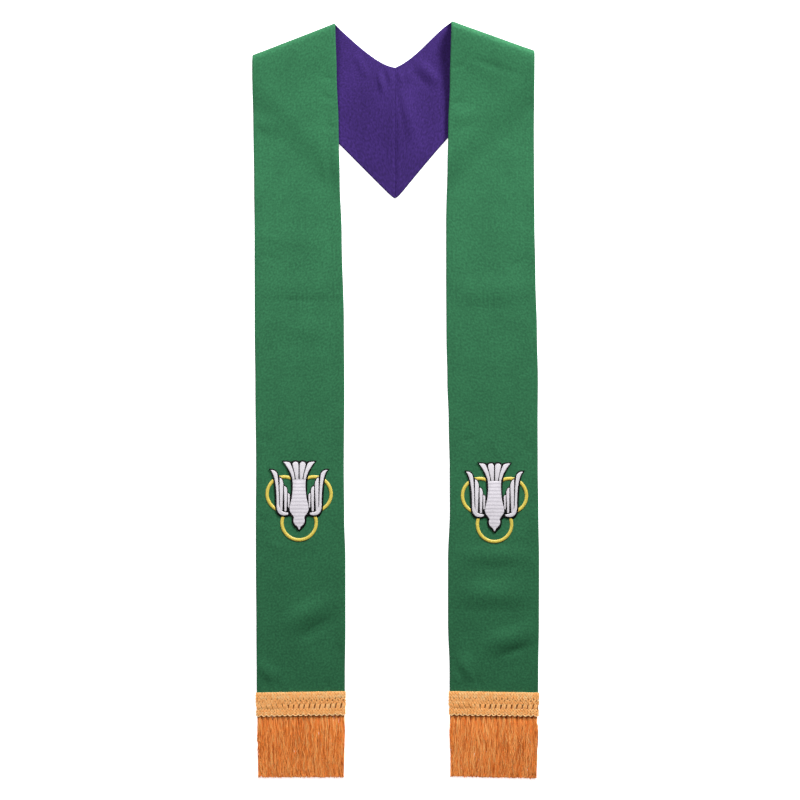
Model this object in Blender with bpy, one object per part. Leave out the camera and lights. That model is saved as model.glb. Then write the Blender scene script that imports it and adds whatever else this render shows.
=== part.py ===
"""A reversible clerical stole laid flat on a table, with its two fronts folded over at the shoulders.

Each half is one green strip and one purple strip, sewn edge to edge, that run from the hem up over a
soft shoulder fold and back underneath to the mitred seam at the centre back, where the purple shows.
Gold braid and fringe finish each hem, and each front carries a raised dove over three rings.

Tables are in millimetres. "across" is the distance from the centre seam outwards, the same way on both
halves, "along" runs up the garment, and height is above the table. The origin is the middle of the
outline, on the table.
"""

import math
from collections import namedtuple

import bmesh
import bpy

MM = 0.001

# Cloth: the green strip is the face and the purple one the lining, with a seam gap between them
FACE_THICK = 1.1
LINING_THICK = 1.0
SEAM_GAP = 0.3
HALF_GAP = SEAM_GAP / 2

# Heights of the surface where face and lining meet
FRONT_REST = LINING_THICK + HALF_GAP
YOKE_REST = FACE_THICK + HALF_GAP
FACE_TOP = LINING_THICK + SEAM_GAP + FACE_THICK

# Shoulder fold: half an ellipse seen along the fold, then a slope down on to the yoke
FOLD_REACH = 8.0
FOLD_STEPS = 4
FOLD_SLOPE = 135.0
FOLD_EASE = 0.1
STACK_OUTER = 4.6
STACK_INNER = 6.2

# The front drops from the yoke to the table past the yoke's lower edge, which runs at about 45 degrees
STEP_MARGIN = 16.0
STEP_RAMP = 46.0
YOKE_EDGE_SLANT = math.sqrt(2.0)

# Hem, braid and fringe, measured along the strip
HEM = -435.0
HEM_SKEW = 2.0
BRAID_TOP = -420.5
BRAID_OVERHANG = 1.5
HEADER_DEPTH = 16.0
FRINGE_END = -546.0

# Sections of the strip: fine where it is creased, coarse where it lies flat
FINE_STEP = 14.5
COARSE_STEP = 52.0
COLUMNS = (0.0, 0.2, 0.4, 0.6, 0.77, 0.89, 0.955, 1.0)
YOKE_SECTIONS = (0.0, 0.13, 0.26, 0.39, 0.51, 0.61, 0.69, 0.75, 0.80, 0.85, 0.90, 0.95, 1.0)

Edge = namedtuple("Edge", "along inner outer")
Ridge = namedtuple("Ridge", "across along turn half_length half_width height")
Half = namedtuple(
    "Half",
    "name sign edges fold_outer fold_inner loft_outer loft_inner neck_out neck_in tip_sag"
    " front_ridges yoke_ridges fringe_lean fringe_skew",
)

NECK_ALONG = 483.0
TIP_LOW = 289.5
TIP_ROUND = 4.0

# Emblem: a dove flying down over three rings, drawn round its own centre
EMBLEM_ACROSS = {"left": 139.7, "right": 143.4}
EMBLEM_ALONG = {"left": -139.0, "right": -141.5}
RING_RADIUS = 24.8
RING_BAND = 5.4
RING_THICK = 0.5
RING_CENTRES = ((-21.6, 4.3), (21.6, 4.3), (0.0, -37.4))
RING_STEPS = 28
DOVE_THICK = 0.8

LEFT = Half(
    name="left",
    sign=-1,
    edges=(
        Edge(-470, 73.5, 200.8),
        Edge(-400, 73.3, 201.4),
        Edge(-330, 72.5, 201.8),
        Edge(-230, 72.5, 202.5),
        Edge(-170, 74.2, 202.6),
        Edge(-100, 74.8, 202.2),
        Edge(20, 74.0, 203.3),
        Edge(110, 74.6, 204.2),
        Edge(240, 77.8, 204.4),
        Edge(320, 80.6, 205.2),
        Edge(400, 82.5, 206.2),
        Edge(470, 85.0, 207.2),
        Edge(560, 87.3, 206.6),
    ),
    fold_outer=499.0,
    fold_inner=545.2,
    loft_outer=7.4,
    loft_inner=8.6,
    neck_out=(54.0, 514.0),
    neck_in=(22.0, 484.5),
    tip_sag=0.0,
    front_ridges=(
        Ridge(138, 233, 3, 66, 24, 1.8),
        Ridge(138, 166, -4, 72, 28, 2.6),
        Ridge(134, 104, 5, 66, 26, 2.2),
        Ridge(190, 400, 8, 34, 20, 1.6),
        Ridge(124, -306, -32, 62, 24, 3.4),
        Ridge(186, -392, 48, 26, 16, 1.6),
    ),
    yoke_ridges=(
        Ridge(0, 428, 90, 112, 85, 7.6),
        Ridge(49, 486, 64, 26, 9, 1.8),
        Ridge(20, 459, 80, 24, 7, 1.9),
        Ridge(8, 470, 86, 16, 6, 1.5),
    ),
    fringe_lean=-0.8,
    fringe_skew=0.0,
)

RIGHT = Half(
    name="right",
    sign=1,
    edges=(
        Edge(-470, 78.3, 206.4),
        Edge(-390, 78.3, 207.0),
        Edge(-320, 76.0, 208.0),
        Edge(-230, 76.0, 208.2),
        Edge(-160, 78.6, 207.2),
        Edge(-100, 78.4, 206.4),
        Edge(-30, 77.0, 206.2),
        Edge(30, 75.0, 206.6),
        Edge(100, 73.6, 205.2),
        Edge(180, 73.2, 203.0),
        Edge(260, 73.2, 201.6),
        Edge(340, 75.0, 201.0),
        Edge(400, 76.3, 200.8),
        Edge(460, 78.5, 201.0),
        Edge(560, 80.8, 201.0),
    ),
    fold_outer=505.5,
    fold_inner=548.0,
    loft_outer=8.0,
    loft_inner=11.5,
    neck_out=(62.0, 541.0),
    neck_in=(32.0, 497.0),
    tip_sag=0.00105,
    front_ridges=(
        Ridge(140, 161, 3, 74, 30, 3.2),
        Ridge(98, 412, 12, 30, 18, 1.8),
        Ridge(142, -224, -2, 70, 20, 2.0),
        Ridge(142, -280, 2, 74, 27, 3.0),
        Ridge(166, -344, 20, 54, 23, 3.2),
        Ridge(103, -384, -66, 28, 16, 2.4),
    ),
    yoke_ridges=(
        Ridge(-8, 428, 90, 112, 60, 8.0),
        Ridge(47, 476, -47, 30, 13, 3.0),
        Ridge(20, 408, -80, 50, 13, 2.6),
        Ridge(8, 468, 88, 16, 6, 1.6),
        Ridge(18, 471, 84, 16, 6, 1.6),
    ),
    fringe_lean=-2.8,
    fringe_skew=3.0,
)

HALVES = (LEFT, RIGHT)


def lerp(low, high, share):
    return low + (high - low) * share


def smooth(share):
    """0 to 1 with level ends."""
    share = max(0.0, min(1.0, share))
    return share * share * (3.0 - 2.0 * share)


def droop(share):
    """1 to 0: level at the fold itself, steepest close below it, then easing out."""
    share = max(0.0, min(1.0, share))
    run = (math.hypot(share, FOLD_EASE) - FOLD_EASE) / (math.hypot(1.0, FOLD_EASE) - FOLD_EASE)
    return (1.0 - run) ** 2


def edge_across(half, along, column):
    """The strip's inner or outer edge at a place along the front."""
    table = half.edges
    for low, high in zip(table, table[1:]):
        if along <= high.along:
            share = smooth((along - low.along) / (high.along - low.along))
            return lerp(getattr(low, column), getattr(high, column), share)
    return getattr(table[-1], column)


def corners(half):
    """Where the fold meets the strip's outer and inner edges."""
    outer = (edge_across(half, half.fold_outer, "outer"), half.fold_outer)
    inner = (edge_across(half, half.fold_inner, "inner"), half.fold_inner)
    return outer, inner


def hem_along(half, across):
    """The hem hangs a little lower at its outer end."""
    return HEM - HEM_SKEW * (across - 75.0) / 130.0


def front_row(half, drop):
    """Outer and inner ends of the section that lies this far below the fold."""
    outer, inner = corners(half)
    mean = (outer[1] + inner[1]) / 2.0 - HEM
    ends = []
    for corner, column in ((outer, "outer"), (inner, "inner")):
        low = hem_along(half, corner[0])
        along = lerp(corner[1], low, drop / mean)
        ends.append((edge_across(half, along, column), along))
    return ends


def tip_edge(half, across):
    """The yoke's lower edge, from the point at the centre back out to the fold."""
    corner = corners(half)[0]
    reach = math.hypot(corner[0], TIP_ROUND)
    slope = (corner[1] - TIP_LOW + half.tip_sag * corner[0] ** 2) / reach
    return TIP_LOW + slope * math.hypot(across, TIP_ROUND) - half.tip_sag * across**2


def yoke_outer(half, travel):
    across = lerp(corners(half)[0][0], HALF_GAP, travel)
    return across, tip_edge(half, across)


def yoke_inner(half, travel):
    """The neckline, a curve from the fold to the centre seam."""
    start = corners(half)[1]
    stops = (start, half.neck_out, half.neck_in, (HALF_GAP, NECK_ALONG))
    left = 1.0 - travel
    weights = (left**3, 3 * left * left * travel, 3 * left * travel * travel, travel**3)
    return tuple(sum(w * p[axis] for w, p in zip(weights, stops)) for axis in (0, 1))


def fold_distance(half, point):
    """How far a point lies inside the fold's line."""
    outer, inner = corners(half)
    run = (outer[0] - inner[0], outer[1] - inner[1])
    long = math.hypot(*run)
    return ((point[0] - inner[0]) * run[1] - (point[1] - inner[1]) * run[0]) / long


def travel_at(half, edge, distance):
    """The travel at which one of the yoke's edges is this far inside the fold's line."""
    low, high = 0.0, 0.5
    for _ in range(30):
        middle = (low + high) / 2.0
        if fold_distance(half, edge(half, middle)) < distance:
            low = middle
        else:
            high = middle
    return low


def yoke_row(half, distance, share):
    """Outer and inner ends of a yoke section: first by distance from the fold, then by share of the rest."""
    ends = []
    for edge in (yoke_outer, yoke_inner):
        start = travel_at(half, edge, distance)
        ends.append(edge(half, lerp(start, 1.0, share)))
    return ends


def lift(ridges, across, along):
    """Height of the soft folds at a place: each is a mound that ends level with the table."""
    total = 0.0
    for ridge in ridges:
        turn = math.radians(ridge.turn)
        right, up = across - ridge.across, along - ridge.along
        along_it = (right * math.cos(turn) + up * math.sin(turn)) / ridge.half_length
        over_it = (up * math.cos(turn) - right * math.sin(turn)) / ridge.half_width
        if abs(along_it) < 1.0 and abs(over_it) < 1.0:
            end = math.cos(math.pi / 2 * along_it) ** 2
            side = math.cos(math.pi / 2 * over_it) ** 2
            total += ridge.height * end * side
    return total


def front_height(half, across, along, column):
    """Height of the front, which lies on the yoke at the shoulder and on the table below it."""
    outside = (tip_edge(half, across) - along) / YOKE_EDGE_SLANT
    step = 1.0 - smooth((outside - STEP_MARGIN) / STEP_RAMP)
    stack = lerp(STACK_OUTER, STACK_INNER, column)
    top = YOKE_REST + 2.0 * lerp(half.loft_outer, half.loft_inner, column)
    away = fold_distance(half, (across, along))
    loft = droop((away - FOLD_REACH) / FOLD_SLOPE)
    low = lerp(FRONT_REST, stack, step)
    return low + loft * (top - stack) + lift(half.front_ridges, across, along)


def creased(half, along):
    """Whether a fold, or the slope at the shoulder, crosses the front here."""
    if along > half.fold_outer - STEP_RAMP - FOLD_SLOPE:
        return True
    for ridge in half.front_ridges:
        turn = math.radians(ridge.turn)
        tall = abs(math.sin(turn)) * ridge.half_length + abs(math.cos(turn)) * ridge.half_width
        if abs(along - ridge.along) < tall:
            return True
    return False


def front_drops(half):
    """How far below the fold each section of the front lies, from the hem up."""
    outer, inner = corners(half)
    mean = (outer[1] + inner[1]) / 2.0
    bottom = mean - HEM
    top = FOLD_REACH * 1.07
    drops = [bottom]
    while True:
        fine = creased(half, mean - drops[-1] + FINE_STEP)
        fine = fine or creased(half, mean - drops[-1] + COARSE_STEP)
        drop = drops[-1] - (FINE_STEP if fine else COARSE_STEP)
        if drop < top + FINE_STEP / 2:
            return drops + [top]
        drops.append(drop)


def sections(half):
    """Rows of points (across, along, height) where face and lining meet, from hem to centre seam."""
    rows = []
    for drop in front_drops(half):
        outer, inner = front_row(half, drop)
        row = []
        for column in COLUMNS:
            across, along = lerp(outer[0], inner[0], column), lerp(outer[1], inner[1], column)
            row.append((across, along, front_height(half, across, along, column)))
        rows.append(row)
    for step in range(1, 2 * FOLD_STEPS):
        turn = math.pi / 2 * (1.0 - step / FOLD_STEPS)
        distance = FOLD_REACH * (1.0 - math.cos(turn))
        over = step <= FOLD_STEPS
        outer, inner = front_row(half, distance * 1.07) if over else yoke_row(half, distance, 0.0)
        row = []
        for column in COLUMNS:
            across, along = lerp(outer[0], inner[0], column), lerp(outer[1], inner[1], column)
            loft = lerp(half.loft_outer, half.loft_inner, column)
            row.append((across, along, YOKE_REST + loft * (1.0 + math.sin(turn))))
        rows.append(row)
    for share in YOKE_SECTIONS:
        outer, inner = yoke_row(half, FOLD_REACH, share)
        row = []
        for column in COLUMNS:
            across, along = lerp(outer[0], inner[0], column), lerp(outer[1], inner[1], column)
            row.append((across, along, YOKE_REST + lift(half.yoke_ridges, across, along)))
        rows.append(row)
    return rows


def minus(a, b):
    return tuple(p - q for p, q in zip(a, b))


def normals(rows):
    """The face side's direction at every point."""
    last_row, last_column = len(rows) - 1, len(rows[0]) - 1
    found = []
    for i, row in enumerate(rows):
        line = []
        for j in range(len(row)):
            up = minus(rows[min(i + 1, last_row)][j], rows[max(i - 1, 0)][j])
            over = minus(row[min(j + 1, last_column)], row[max(j - 1, 0)])
            n = (
                up[1] * over[2] - up[2] * over[1],
                up[2] * over[0] - up[0] * over[2],
                up[0] * over[1] - up[1] * over[0],
            )
            long = math.sqrt(sum(c * c for c in n))
            line.append(tuple(c / long for c in n))
        found.append(line)
    return found


def material(name, colour, roughness, metallic=0.0):
    made = bpy.data.materials.new(name)
    made.use_nodes = True
    shader = made.node_tree.nodes["Principled BSDF"]
    shader.inputs["Base Color"].default_value = (*colour, 1.0)
    shader.inputs["Roughness"].default_value = roughness
    shader.inputs["Metallic"].default_value = metallic
    return made


def add_object(name, bm, finish):
    """Turns the finished bmesh into a named object with its material, its faces pointing outwards."""
    bmesh.ops.recalc_face_normals(bm, faces=bm.faces)
    if bm.calc_volume(signed=True) < 0.0:
        bmesh.ops.reverse_faces(bm, faces=bm.faces)
    mesh = bpy.data.meshes.new(name)
    bm.to_mesh(mesh)
    bm.free()
    mesh.materials.append(finish)
    made = bpy.data.objects.new(name, mesh)
    bpy.context.scene.collection.objects.link(made)
    return made


def cloth_wall(name, half, rows, inner, outer, finish):
    """A wall of cloth on a grid of sections, between two distances from the surface where the strips meet."""
    outward = normals(rows)
    bm = bmesh.new()
    across_cells, along_cells = len(COLUMNS) - 1, len(rows) - 1
    bmesh.ops.create_grid(bm, x_segments=across_cells, y_segments=along_cells, size=0.5)
    column = bm.verts.layers.int.new("column")
    section = bm.verts.layers.int.new("section")
    for vert in bm.verts:
        vert[column] = round((vert.co.x + 0.5) * across_cells)
        vert[section] = round((vert.co.y + 0.5) * along_cells)

    def place(vert, distance):
        point = rows[vert[section]][vert[column]]
        way = outward[vert[section]][vert[column]]
        moved = [p + n * distance for p, n in zip(point, way)]
        moved[2] = max(0.0, moved[2])
        vert.co = (half.sign * moved[0] * MM, moved[1] * MM, moved[2] * MM)

    low = bm.verts[:]
    made = bmesh.ops.extrude_face_region(bm, geom=bm.faces[:])
    high = [item for item in made["geom"] if isinstance(item, bmesh.types.BMVert)]
    for vert in low:
        place(vert, inner)
    for vert in high:
        place(vert, outer)
    return add_object(name, bm, finish)


# Braid lines from its top edge down, with the height of each above the braid's back
BraidLine = namedtuple("BraidLine", "down height")
BRAID_LINES = (
    BraidLine(0.0, 0.9),
    BraidLine(1.4, 1.9),
    BraidLine(8.4, 2.0),
    BraidLine(10.2, 1.4),
    BraidLine(14.6, 1.4),
    BraidLine(16.0, 1.9),
    BraidLine(18.4, 1.4),
    BraidLine(24.8, 1.4),
    BraidLine(26.4, 2.0),
    BraidLine(32.4, 2.0),
    BraidLine(34.4, 0.9),
)
BRAID_REPEATS = 17
BRAID_RUNG = 0.42
BRAID_PIT_ROWS = (3, 6)
BRAID_PIT_DEPTH = 0.8
BRAID_PIT_WALL = 0.6
BRAID_SCALLOP = 1.7
BRAID_PICOT = 0.5


def braid_ends(half):
    """The braid's inner and outer ends, a little past the cloth's edges."""
    inner = edge_across(half, HEM, "inner") - BRAID_OVERHANG
    outer = edge_across(half, HEM, "outer") + BRAID_OVERHANG
    return inner, outer


def braid_place(half, line, column):
    """The point of the braid's front on one line across it and one line down it."""
    inner, outer = braid_ends(half)
    repeat, second = divmod(column, 2)
    share = (repeat + (BRAID_RUNG if second else 0.0)) / BRAID_REPEATS
    across = lerp(inner, outer, share)
    along = BRAID_TOP - BRAID_LINES[line].down - HEM_SKEW * share
    if line == 0 and second:
        along -= BRAID_PICOT
    if line == len(BRAID_LINES) - 1 and not second:
        along += BRAID_SCALLOP
    return across, along, FACE_TOP + SEAM_GAP + BRAID_LINES[line].height


def braid(half, finish):
    """The heading that is sewn over the hem: two cords with a row of eyelets and a row of slots."""
    bm = bmesh.new()
    across_cells, down_cells = 2 * BRAID_REPEATS, len(BRAID_LINES) - 1
    bmesh.ops.create_grid(bm, x_segments=across_cells, y_segments=down_cells, size=0.5)
    pits = []
    for face in bm.faces:
        centre = face.calc_center_median()
        cell = int((centre.x + 0.5) * across_cells)
        row = int((0.5 - centre.y) * down_cells)
        if row in BRAID_PIT_ROWS and cell % 2 == 1:
            pits.append(face)
    for vert in bm.verts:
        column = round((vert.co.x + 0.5) * across_cells)
        line = round((0.5 - vert.co.y) * down_cells)
        across, along, height = braid_place(half, line, column)
        vert.co = (half.sign * across * MM, along * MM, height * MM)
    bmesh.ops.recalc_face_normals(bm, faces=bm.faces)
    if bm.faces[0].normal.z < 0:
        bmesh.ops.reverse_faces(bm, faces=bm.faces)
    bmesh.ops.inset_individual(
        bm, faces=pits, thickness=BRAID_PIT_WALL * MM, depth=-BRAID_PIT_DEPTH * MM
    )
    rim = [edge for edge in bm.edges if edge.is_boundary]
    made = bmesh.ops.extrude_edge_only(bm, edges=rim)["geom"]
    for vert in (item for item in made if isinstance(item, bmesh.types.BMVert)):
        vert.co.z = (FACE_TOP + SEAM_GAP) * MM
    back = [item for item in made if isinstance(item, bmesh.types.BMEdge) and item.is_boundary]
    bmesh.ops.contextual_create(bm, geom=back)
    return add_object(f"{half.name}_braid", bm, finish)


# Fringe: two staggered layers of locks on a header that lies in line with the cloth, under the braid
LOCKS = 36
LOCK_STEPS = 3
HEADER_LEVELS = (0.4, 1.15, 1.65, 2.4)
HEADER_INSET = 0.6
LOCK_TAPER = 0.82
LOCK_UNEVEN = 3.5


def lock_sway(across, down):
    """Sideways drift of the fringe, the same for neighbours so that locks never cross."""
    slow = math.sin(across / 17.0 + down / 31.0)
    quick = math.sin(across / 7.3 - down / 19.0)
    return (0.9 * slow + 0.35 * quick) * down / 95.0


def fringe(half, finish):
    """The header strip with its locks, which are drawn out of the header's lower side."""
    inner = edge_across(half, HEM, "inner") + HEADER_INSET
    outer = edge_across(half, HEM, "outer") - HEADER_INSET
    cells = 2 * LOCKS + 1
    bm = bmesh.new()
    bmesh.ops.create_grid(bm, x_segments=cells, y_segments=3, size=0.5)
    tag = bm.faces.layers.int.new("lock")
    for face in bm.faces:
        centre = face.calc_center_median()
        column = int((centre.x + 0.5) * cells)
        level = int((centre.y + 0.5) * 3)
        if level == 0 and column % 2 == 1:
            face[tag] = 1
        if level == 2 and column % 2 == 0:
            face[tag] = 1
    for vert in bm.verts:
        share = vert.co.x + 0.5
        level = round((vert.co.y + 0.5) * 3)
        across = lerp(inner, outer, share)
        along = hem_along(half, across) - SEAM_GAP - HEADER_DEPTH
        vert.co = (half.sign * across * MM, along * MM, HEADER_LEVELS[level] * MM)
    lower_side = bm.faces[:]
    roots = [face for face in lower_side if face[tag]]
    made = bmesh.ops.extrude_face_region(bm, geom=lower_side, use_keep_orig=True)["geom"]
    upper_side = [item for item in made if isinstance(item, bmesh.types.BMFace)]
    for vert in (item for item in made if isinstance(item, bmesh.types.BMVert)):
        vert.co.y += HEADER_DEPTH * MM
    bmesh.ops.dissolve_faces(bm, faces=upper_side, use_verts=False)
    for level in (HEADER_LEVELS[0], HEADER_LEVELS[-1]):
        flat = [
            face
            for face in bm.faces
            if all(abs(vert.co.z - level * MM) < 1e-7 for vert in face.verts)
        ]
        bmesh.ops.dissolve_faces(bm, faces=flat, use_verts=True)
    bmesh.ops.recalc_face_normals(bm, faces=bm.faces)
    for number, root in enumerate(roots):
        draw_lock(bm, half, root, number)
    return add_object(f"{half.name}_fringe", bm, finish)


def draw_lock(bm, half, root, number):
    """Draws one lock out of its root on the header, down to the fringe's cut end."""
    centre = root.calc_center_median() / MM
    across = half.sign * centre.x
    share = (across - 75.0) / 130.0
    end = FRINGE_END - half.fringe_skew * (share - 0.5) + LOCK_UNEVEN * 0.5 * math.sin(number * 2.4)
    long = centre.y - end
    upper = centre.z > HEADER_LEVELS[1]
    face = root
    for step in range(1, LOCK_STEPS + 1):
        down = long * step / LOCK_STEPS
        face = bmesh.ops.extrude_discrete_faces(bm, faces=[face])["faces"][0]
        middle = face.calc_center_median()
        rise = 0.9 * math.sin(math.pi * step / (LOCK_STEPS + 1)) if upper else 0.0
        sway = lock_sway(across, down) + half.fringe_lean * down / long
        narrow = LOCK_TAPER if step == LOCK_STEPS else 1.0
        for vert in face.verts:
            vert.co.x = (centre.x + sway) * MM + (vert.co.x - middle.x) * narrow
            vert.co.y = (centre.y - down) * MM
            vert.co.z = max(HEADER_LEVELS[0] * MM, vert.co.z)
        if upper:
            for vert in face.verts:
                level = HEADER_LEVELS[2] if vert.co.z < middle.z else HEADER_LEVELS[3]
                vert.co.z = (level + rise) * MM


def ring_prism(centre, low, high):
    """One flat ring round a centre, between two heights."""
    bm = bmesh.new()
    inner, outer = RING_RADIUS - RING_BAND / 2, RING_RADIUS + RING_BAND / 2
    profile = [(inner, low), (outer, low), (outer, high), (inner, high)]
    verts = [bm.verts.new((r * MM, 0.0, z * MM)) for r, z in profile]
    edges = [bm.edges.new((verts[i], verts[(i + 1) % 4])) for i in range(4)]
    bmesh.ops.spin(
        bm,
        geom=verts + edges,
        cent=(0, 0, 0),
        axis=(0, 0, 1),
        angle=2 * math.pi,
        steps=RING_STEPS,
        use_merge=True,
    )
    bmesh.ops.remove_doubles(bm, verts=bm.verts, dist=1e-6)
    bmesh.ops.translate(bm, verts=bm.verts, vec=(centre[0] * MM, centre[1] * MM, 0.0))
    return bm


def emblem_centre(half):
    return half.sign * EMBLEM_ACROSS[half.name], EMBLEM_ALONG[half.name]


def rings(half, finish):
    """Three linked rings as one raised piece."""
    middle = emblem_centre(half)
    low = FACE_TOP + SEAM_GAP
    whole = None
    for number, centre in enumerate(RING_CENTRES):
        place = (middle[0] + centre[0], middle[1] + centre[1])
        shift = 0.02 * number
        bm = ring_prism(place, low + shift, low + RING_THICK + shift)
        if whole is None:
            whole = add_object(f"{half.name}_rings", bm, finish)
            continue
        other = add_object(f"{half.name}_ring_joined_{number}", bm, finish)
        other.hide_render = True
        other.display_type = "WIRE"
        join = whole.modifiers.new("join", "BOOLEAN")
        join.operation = "UNION"
        join.object = other
    return whole


# Dove outline, its right half, round the emblem's centre: the tail is up and the beak down
BORDER = 2.0
WingBar = namedtuple("WingBar", "inner outer shoulder top")
WING_BARS = (
    WingBar(13.4, 16.3, 2.0, 5.4),
    WingBar(17.1, 21.5, 9.5, 15.6),
    WingBar(22.8, 28.2, 18.5, 27.8),
)
TAIL_CORNER = (25.4, 52.6)
WING_TIP = (44.3, 40.8)


def bezier(stops, count):
    """Points of a cubic curve, its first left out."""
    points = []
    for step in range(1, count + 1):
        t = step / count
        left = 1.0 - t
        weights = (left**3, 3 * left * left * t, 3 * left * t * t, t**3)
        points.append(tuple(sum(w * p[axis] for w, p in zip(weights, stops)) for axis in (0, 1)))
    return points


def bar_tip(bar):
    """Four points over the slanted tip of an upright wing feather, from its inner to its outer side."""
    near = lerp(bar.inner, bar.outer, 0.25) - 0.4 * BORDER
    far = lerp(bar.inner, bar.outer, 0.72)
    return [
        (bar.inner - 0.5 * BORDER, bar.shoulder),
        (near, lerp(bar.shoulder, bar.top, 0.62) + 0.45 * BORDER),
        (far, bar.top + 0.95 * BORDER),
        (bar.outer + 0.1 * BORDER, bar.top + 0.9 * BORDER),
    ]


def dove_half():
    """The right half of the dove's outline, from the middle of the tail to the beak."""
    points = [(0.0, 51.6)]
    points += bezier((points[-1], (1.5, 53.8), (8.5, 54.0), (10.8, 51.0)), 5)
    points += bezier((points[-1], (14.0, 52.8), (20.0, 53.2), TAIL_CORNER), 4)
    points += bezier((TAIL_CORNER, (20.0, 45.5), (13.4, 35.0), (12.0, 23.0)), 6)
    points += bezier((points[-1], (11.4, 17.0), (11.3, 11.0), (11.9, 4.6)), 2)
    for bar in WING_BARS:
        points += bar_tip(bar)
    points += bezier((points[-1], (29.6, 31.0), (30.3, 36.5), (34.0, 39.4)), 4)
    points += bezier((points[-1], (36.8, 41.2), (40.5, 41.4), WING_TIP), 3)
    points += bezier((WING_TIP, (39.6, 36.6), (37.4, 27.0), (36.4, 16.0)), 5)
    points += bezier((points[-1], (35.4, 5.0), (35.0, -6.0), (34.9, -13.0)), 2)
    points += bezier((points[-1], (34.4, -23.5), (30.5, -28.9), (23.0, -28.9)), 5)
    points += bezier((points[-1], (19.0, -28.9), (16.0, -27.8), (13.8, -26.8)), 2)
    points += bezier((points[-1], (11.5, -28.4), (10.3, -29.3), (10.3, -31.0)), 3)
    points += bezier((points[-1], (11.6, -37.0), (9.0, -42.5), (4.2, -45.6)), 4)
    points += [(2.6, -48.2), (0.0, -49.4)]
    return points


def dove(half, finish):
    """The dove as one raised piece on the rings."""
    middle = emblem_centre(half)
    right = dove_half()
    outline = right + [(-x, y) for x, y in reversed(right[1:-1])]
    low = FACE_TOP + 2 * SEAM_GAP + RING_THICK + 0.04
    bm = bmesh.new()
    verts = [
        bm.verts.new(((middle[0] + x) * MM, (middle[1] + y) * MM, low * MM)) for x, y in outline
    ]
    base = bm.faces.new(verts)
    made = bmesh.ops.extrude_face_region(bm, geom=[base], use_keep_orig=True)["geom"]
    for vert in (item for item in made if isinstance(item, bmesh.types.BMVert)):
        vert.co.z += DOVE_THICK * MM
    return add_object(f"{half.name}_dove", bm, finish)


def clear_scene():
    for thing in list(bpy.data.objects):
        bpy.data.objects.remove(thing)


def main():
    clear_scene()
    green = material("green_gabardine", (0.042, 0.181, 0.083), 0.75)
    purple = material("purple_gabardine", (0.078, 0.027, 0.228), 0.8)
    braid_gold = material("gold_braid", (0.73, 0.32, 0.105), 0.55)
    fringe_gold = material("gold_fringe", (0.56, 0.17, 0.035), 0.45)
    ring_gold = material("gold_thread", (0.78, 0.52, 0.06), 0.4)
    white = material("white_thread", (0.72, 0.68, 0.74), 0.5)
    for half in HALVES:
        rows = sections(half)
        cloth_wall(f"{half.name}_face", half, rows, HALF_GAP, HALF_GAP + FACE_THICK, green)
        cloth_wall(f"{half.name}_lining", half, rows, -HALF_GAP - LINING_THICK, -HALF_GAP, purple)
        braid(half, braid_gold)
        fringe(half, fringe_gold)
        rings(half, ring_gold)
        dove(half, white)


main()
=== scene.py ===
"""A reversible clerical stole, laid flat and seen from straight above.

Green gabardine faces, purple linings, machine embroidery, gold gimp braid and bullion fringe, dressed on
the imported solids. Tables are in millimetres: "across" is the distance from the centre back outwards, the
same way on both halves, "along" runs up the garment, and heights are above the table.
"""

import logging
import math
import random
from dataclasses import dataclass
from enum import Enum
from typing import Callable

import bmesh
import bpy
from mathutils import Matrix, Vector, noise

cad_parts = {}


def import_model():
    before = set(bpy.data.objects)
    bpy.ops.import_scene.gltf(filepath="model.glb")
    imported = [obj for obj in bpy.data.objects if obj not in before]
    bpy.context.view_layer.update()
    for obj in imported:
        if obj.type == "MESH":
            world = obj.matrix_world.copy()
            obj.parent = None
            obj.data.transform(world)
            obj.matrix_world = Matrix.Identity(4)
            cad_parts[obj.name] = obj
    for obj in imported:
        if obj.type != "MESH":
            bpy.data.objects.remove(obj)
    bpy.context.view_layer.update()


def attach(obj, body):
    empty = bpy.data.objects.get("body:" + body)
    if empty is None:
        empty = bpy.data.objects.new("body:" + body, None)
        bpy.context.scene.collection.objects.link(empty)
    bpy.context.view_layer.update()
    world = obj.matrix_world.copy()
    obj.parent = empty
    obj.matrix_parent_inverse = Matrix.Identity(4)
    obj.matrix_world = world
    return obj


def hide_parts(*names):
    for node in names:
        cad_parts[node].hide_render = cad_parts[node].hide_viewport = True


LOG = logging.getLogger("stole")
MM = 0.001

# The solids' cloth: face and lining walls with a seam gap between them
FACE_THICK = 1.1
LINING_THICK = 1.0
SEAM_GAP = 0.3
HALF_GAP = SEAM_GAP / 2
FRONT_REST = LINING_THICK + HALF_GAP
YOKE_REST = FACE_THICK + HALF_GAP
FACE_TOP = LINING_THICK + SEAM_GAP + FACE_THICK

STRIP_WIDTH = 130.0
STRIP_INNER = 75.0
THREAD_SIDES = 4
QUARTERS = (0.0, 0.25, 0.5, 0.75, 1.0)
# A wave texture's scale for one band in each millimetre of a place in metres
ONE_MM_WAVE = 314.16

Point2 = tuple[float, float]
Point3 = tuple[float, float, float]
BMesh = bmesh.types.BMesh
Material = bpy.types.Material
Node = bpy.types.Node
Object = bpy.types.Object
Socket = bpy.types.NodeSocket
Tree = bpy.types.NodeTree


class Side(Enum):
    """The stole's halves, by which way "across" points on the table."""

    LEFT = -1
    RIGHT = 1

    @property
    def word(self) -> str:
        """The half's name as the solids use it."""
        return self.name.lower()


class Layer(Enum):
    """The two cloths of a half."""

    FACE = "face"
    LINING = "lining"


def lerp(low: float, high: float, share: float) -> float:
    """The value this share of the way from low to high."""
    return low + (high - low) * share


def smooth(share: float) -> float:
    """Turns a share into one that starts and ends level, kept from 0 to 1."""
    share = max(0.0, min(1.0, share))
    return share * share * (3.0 - 2.0 * share)


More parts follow.
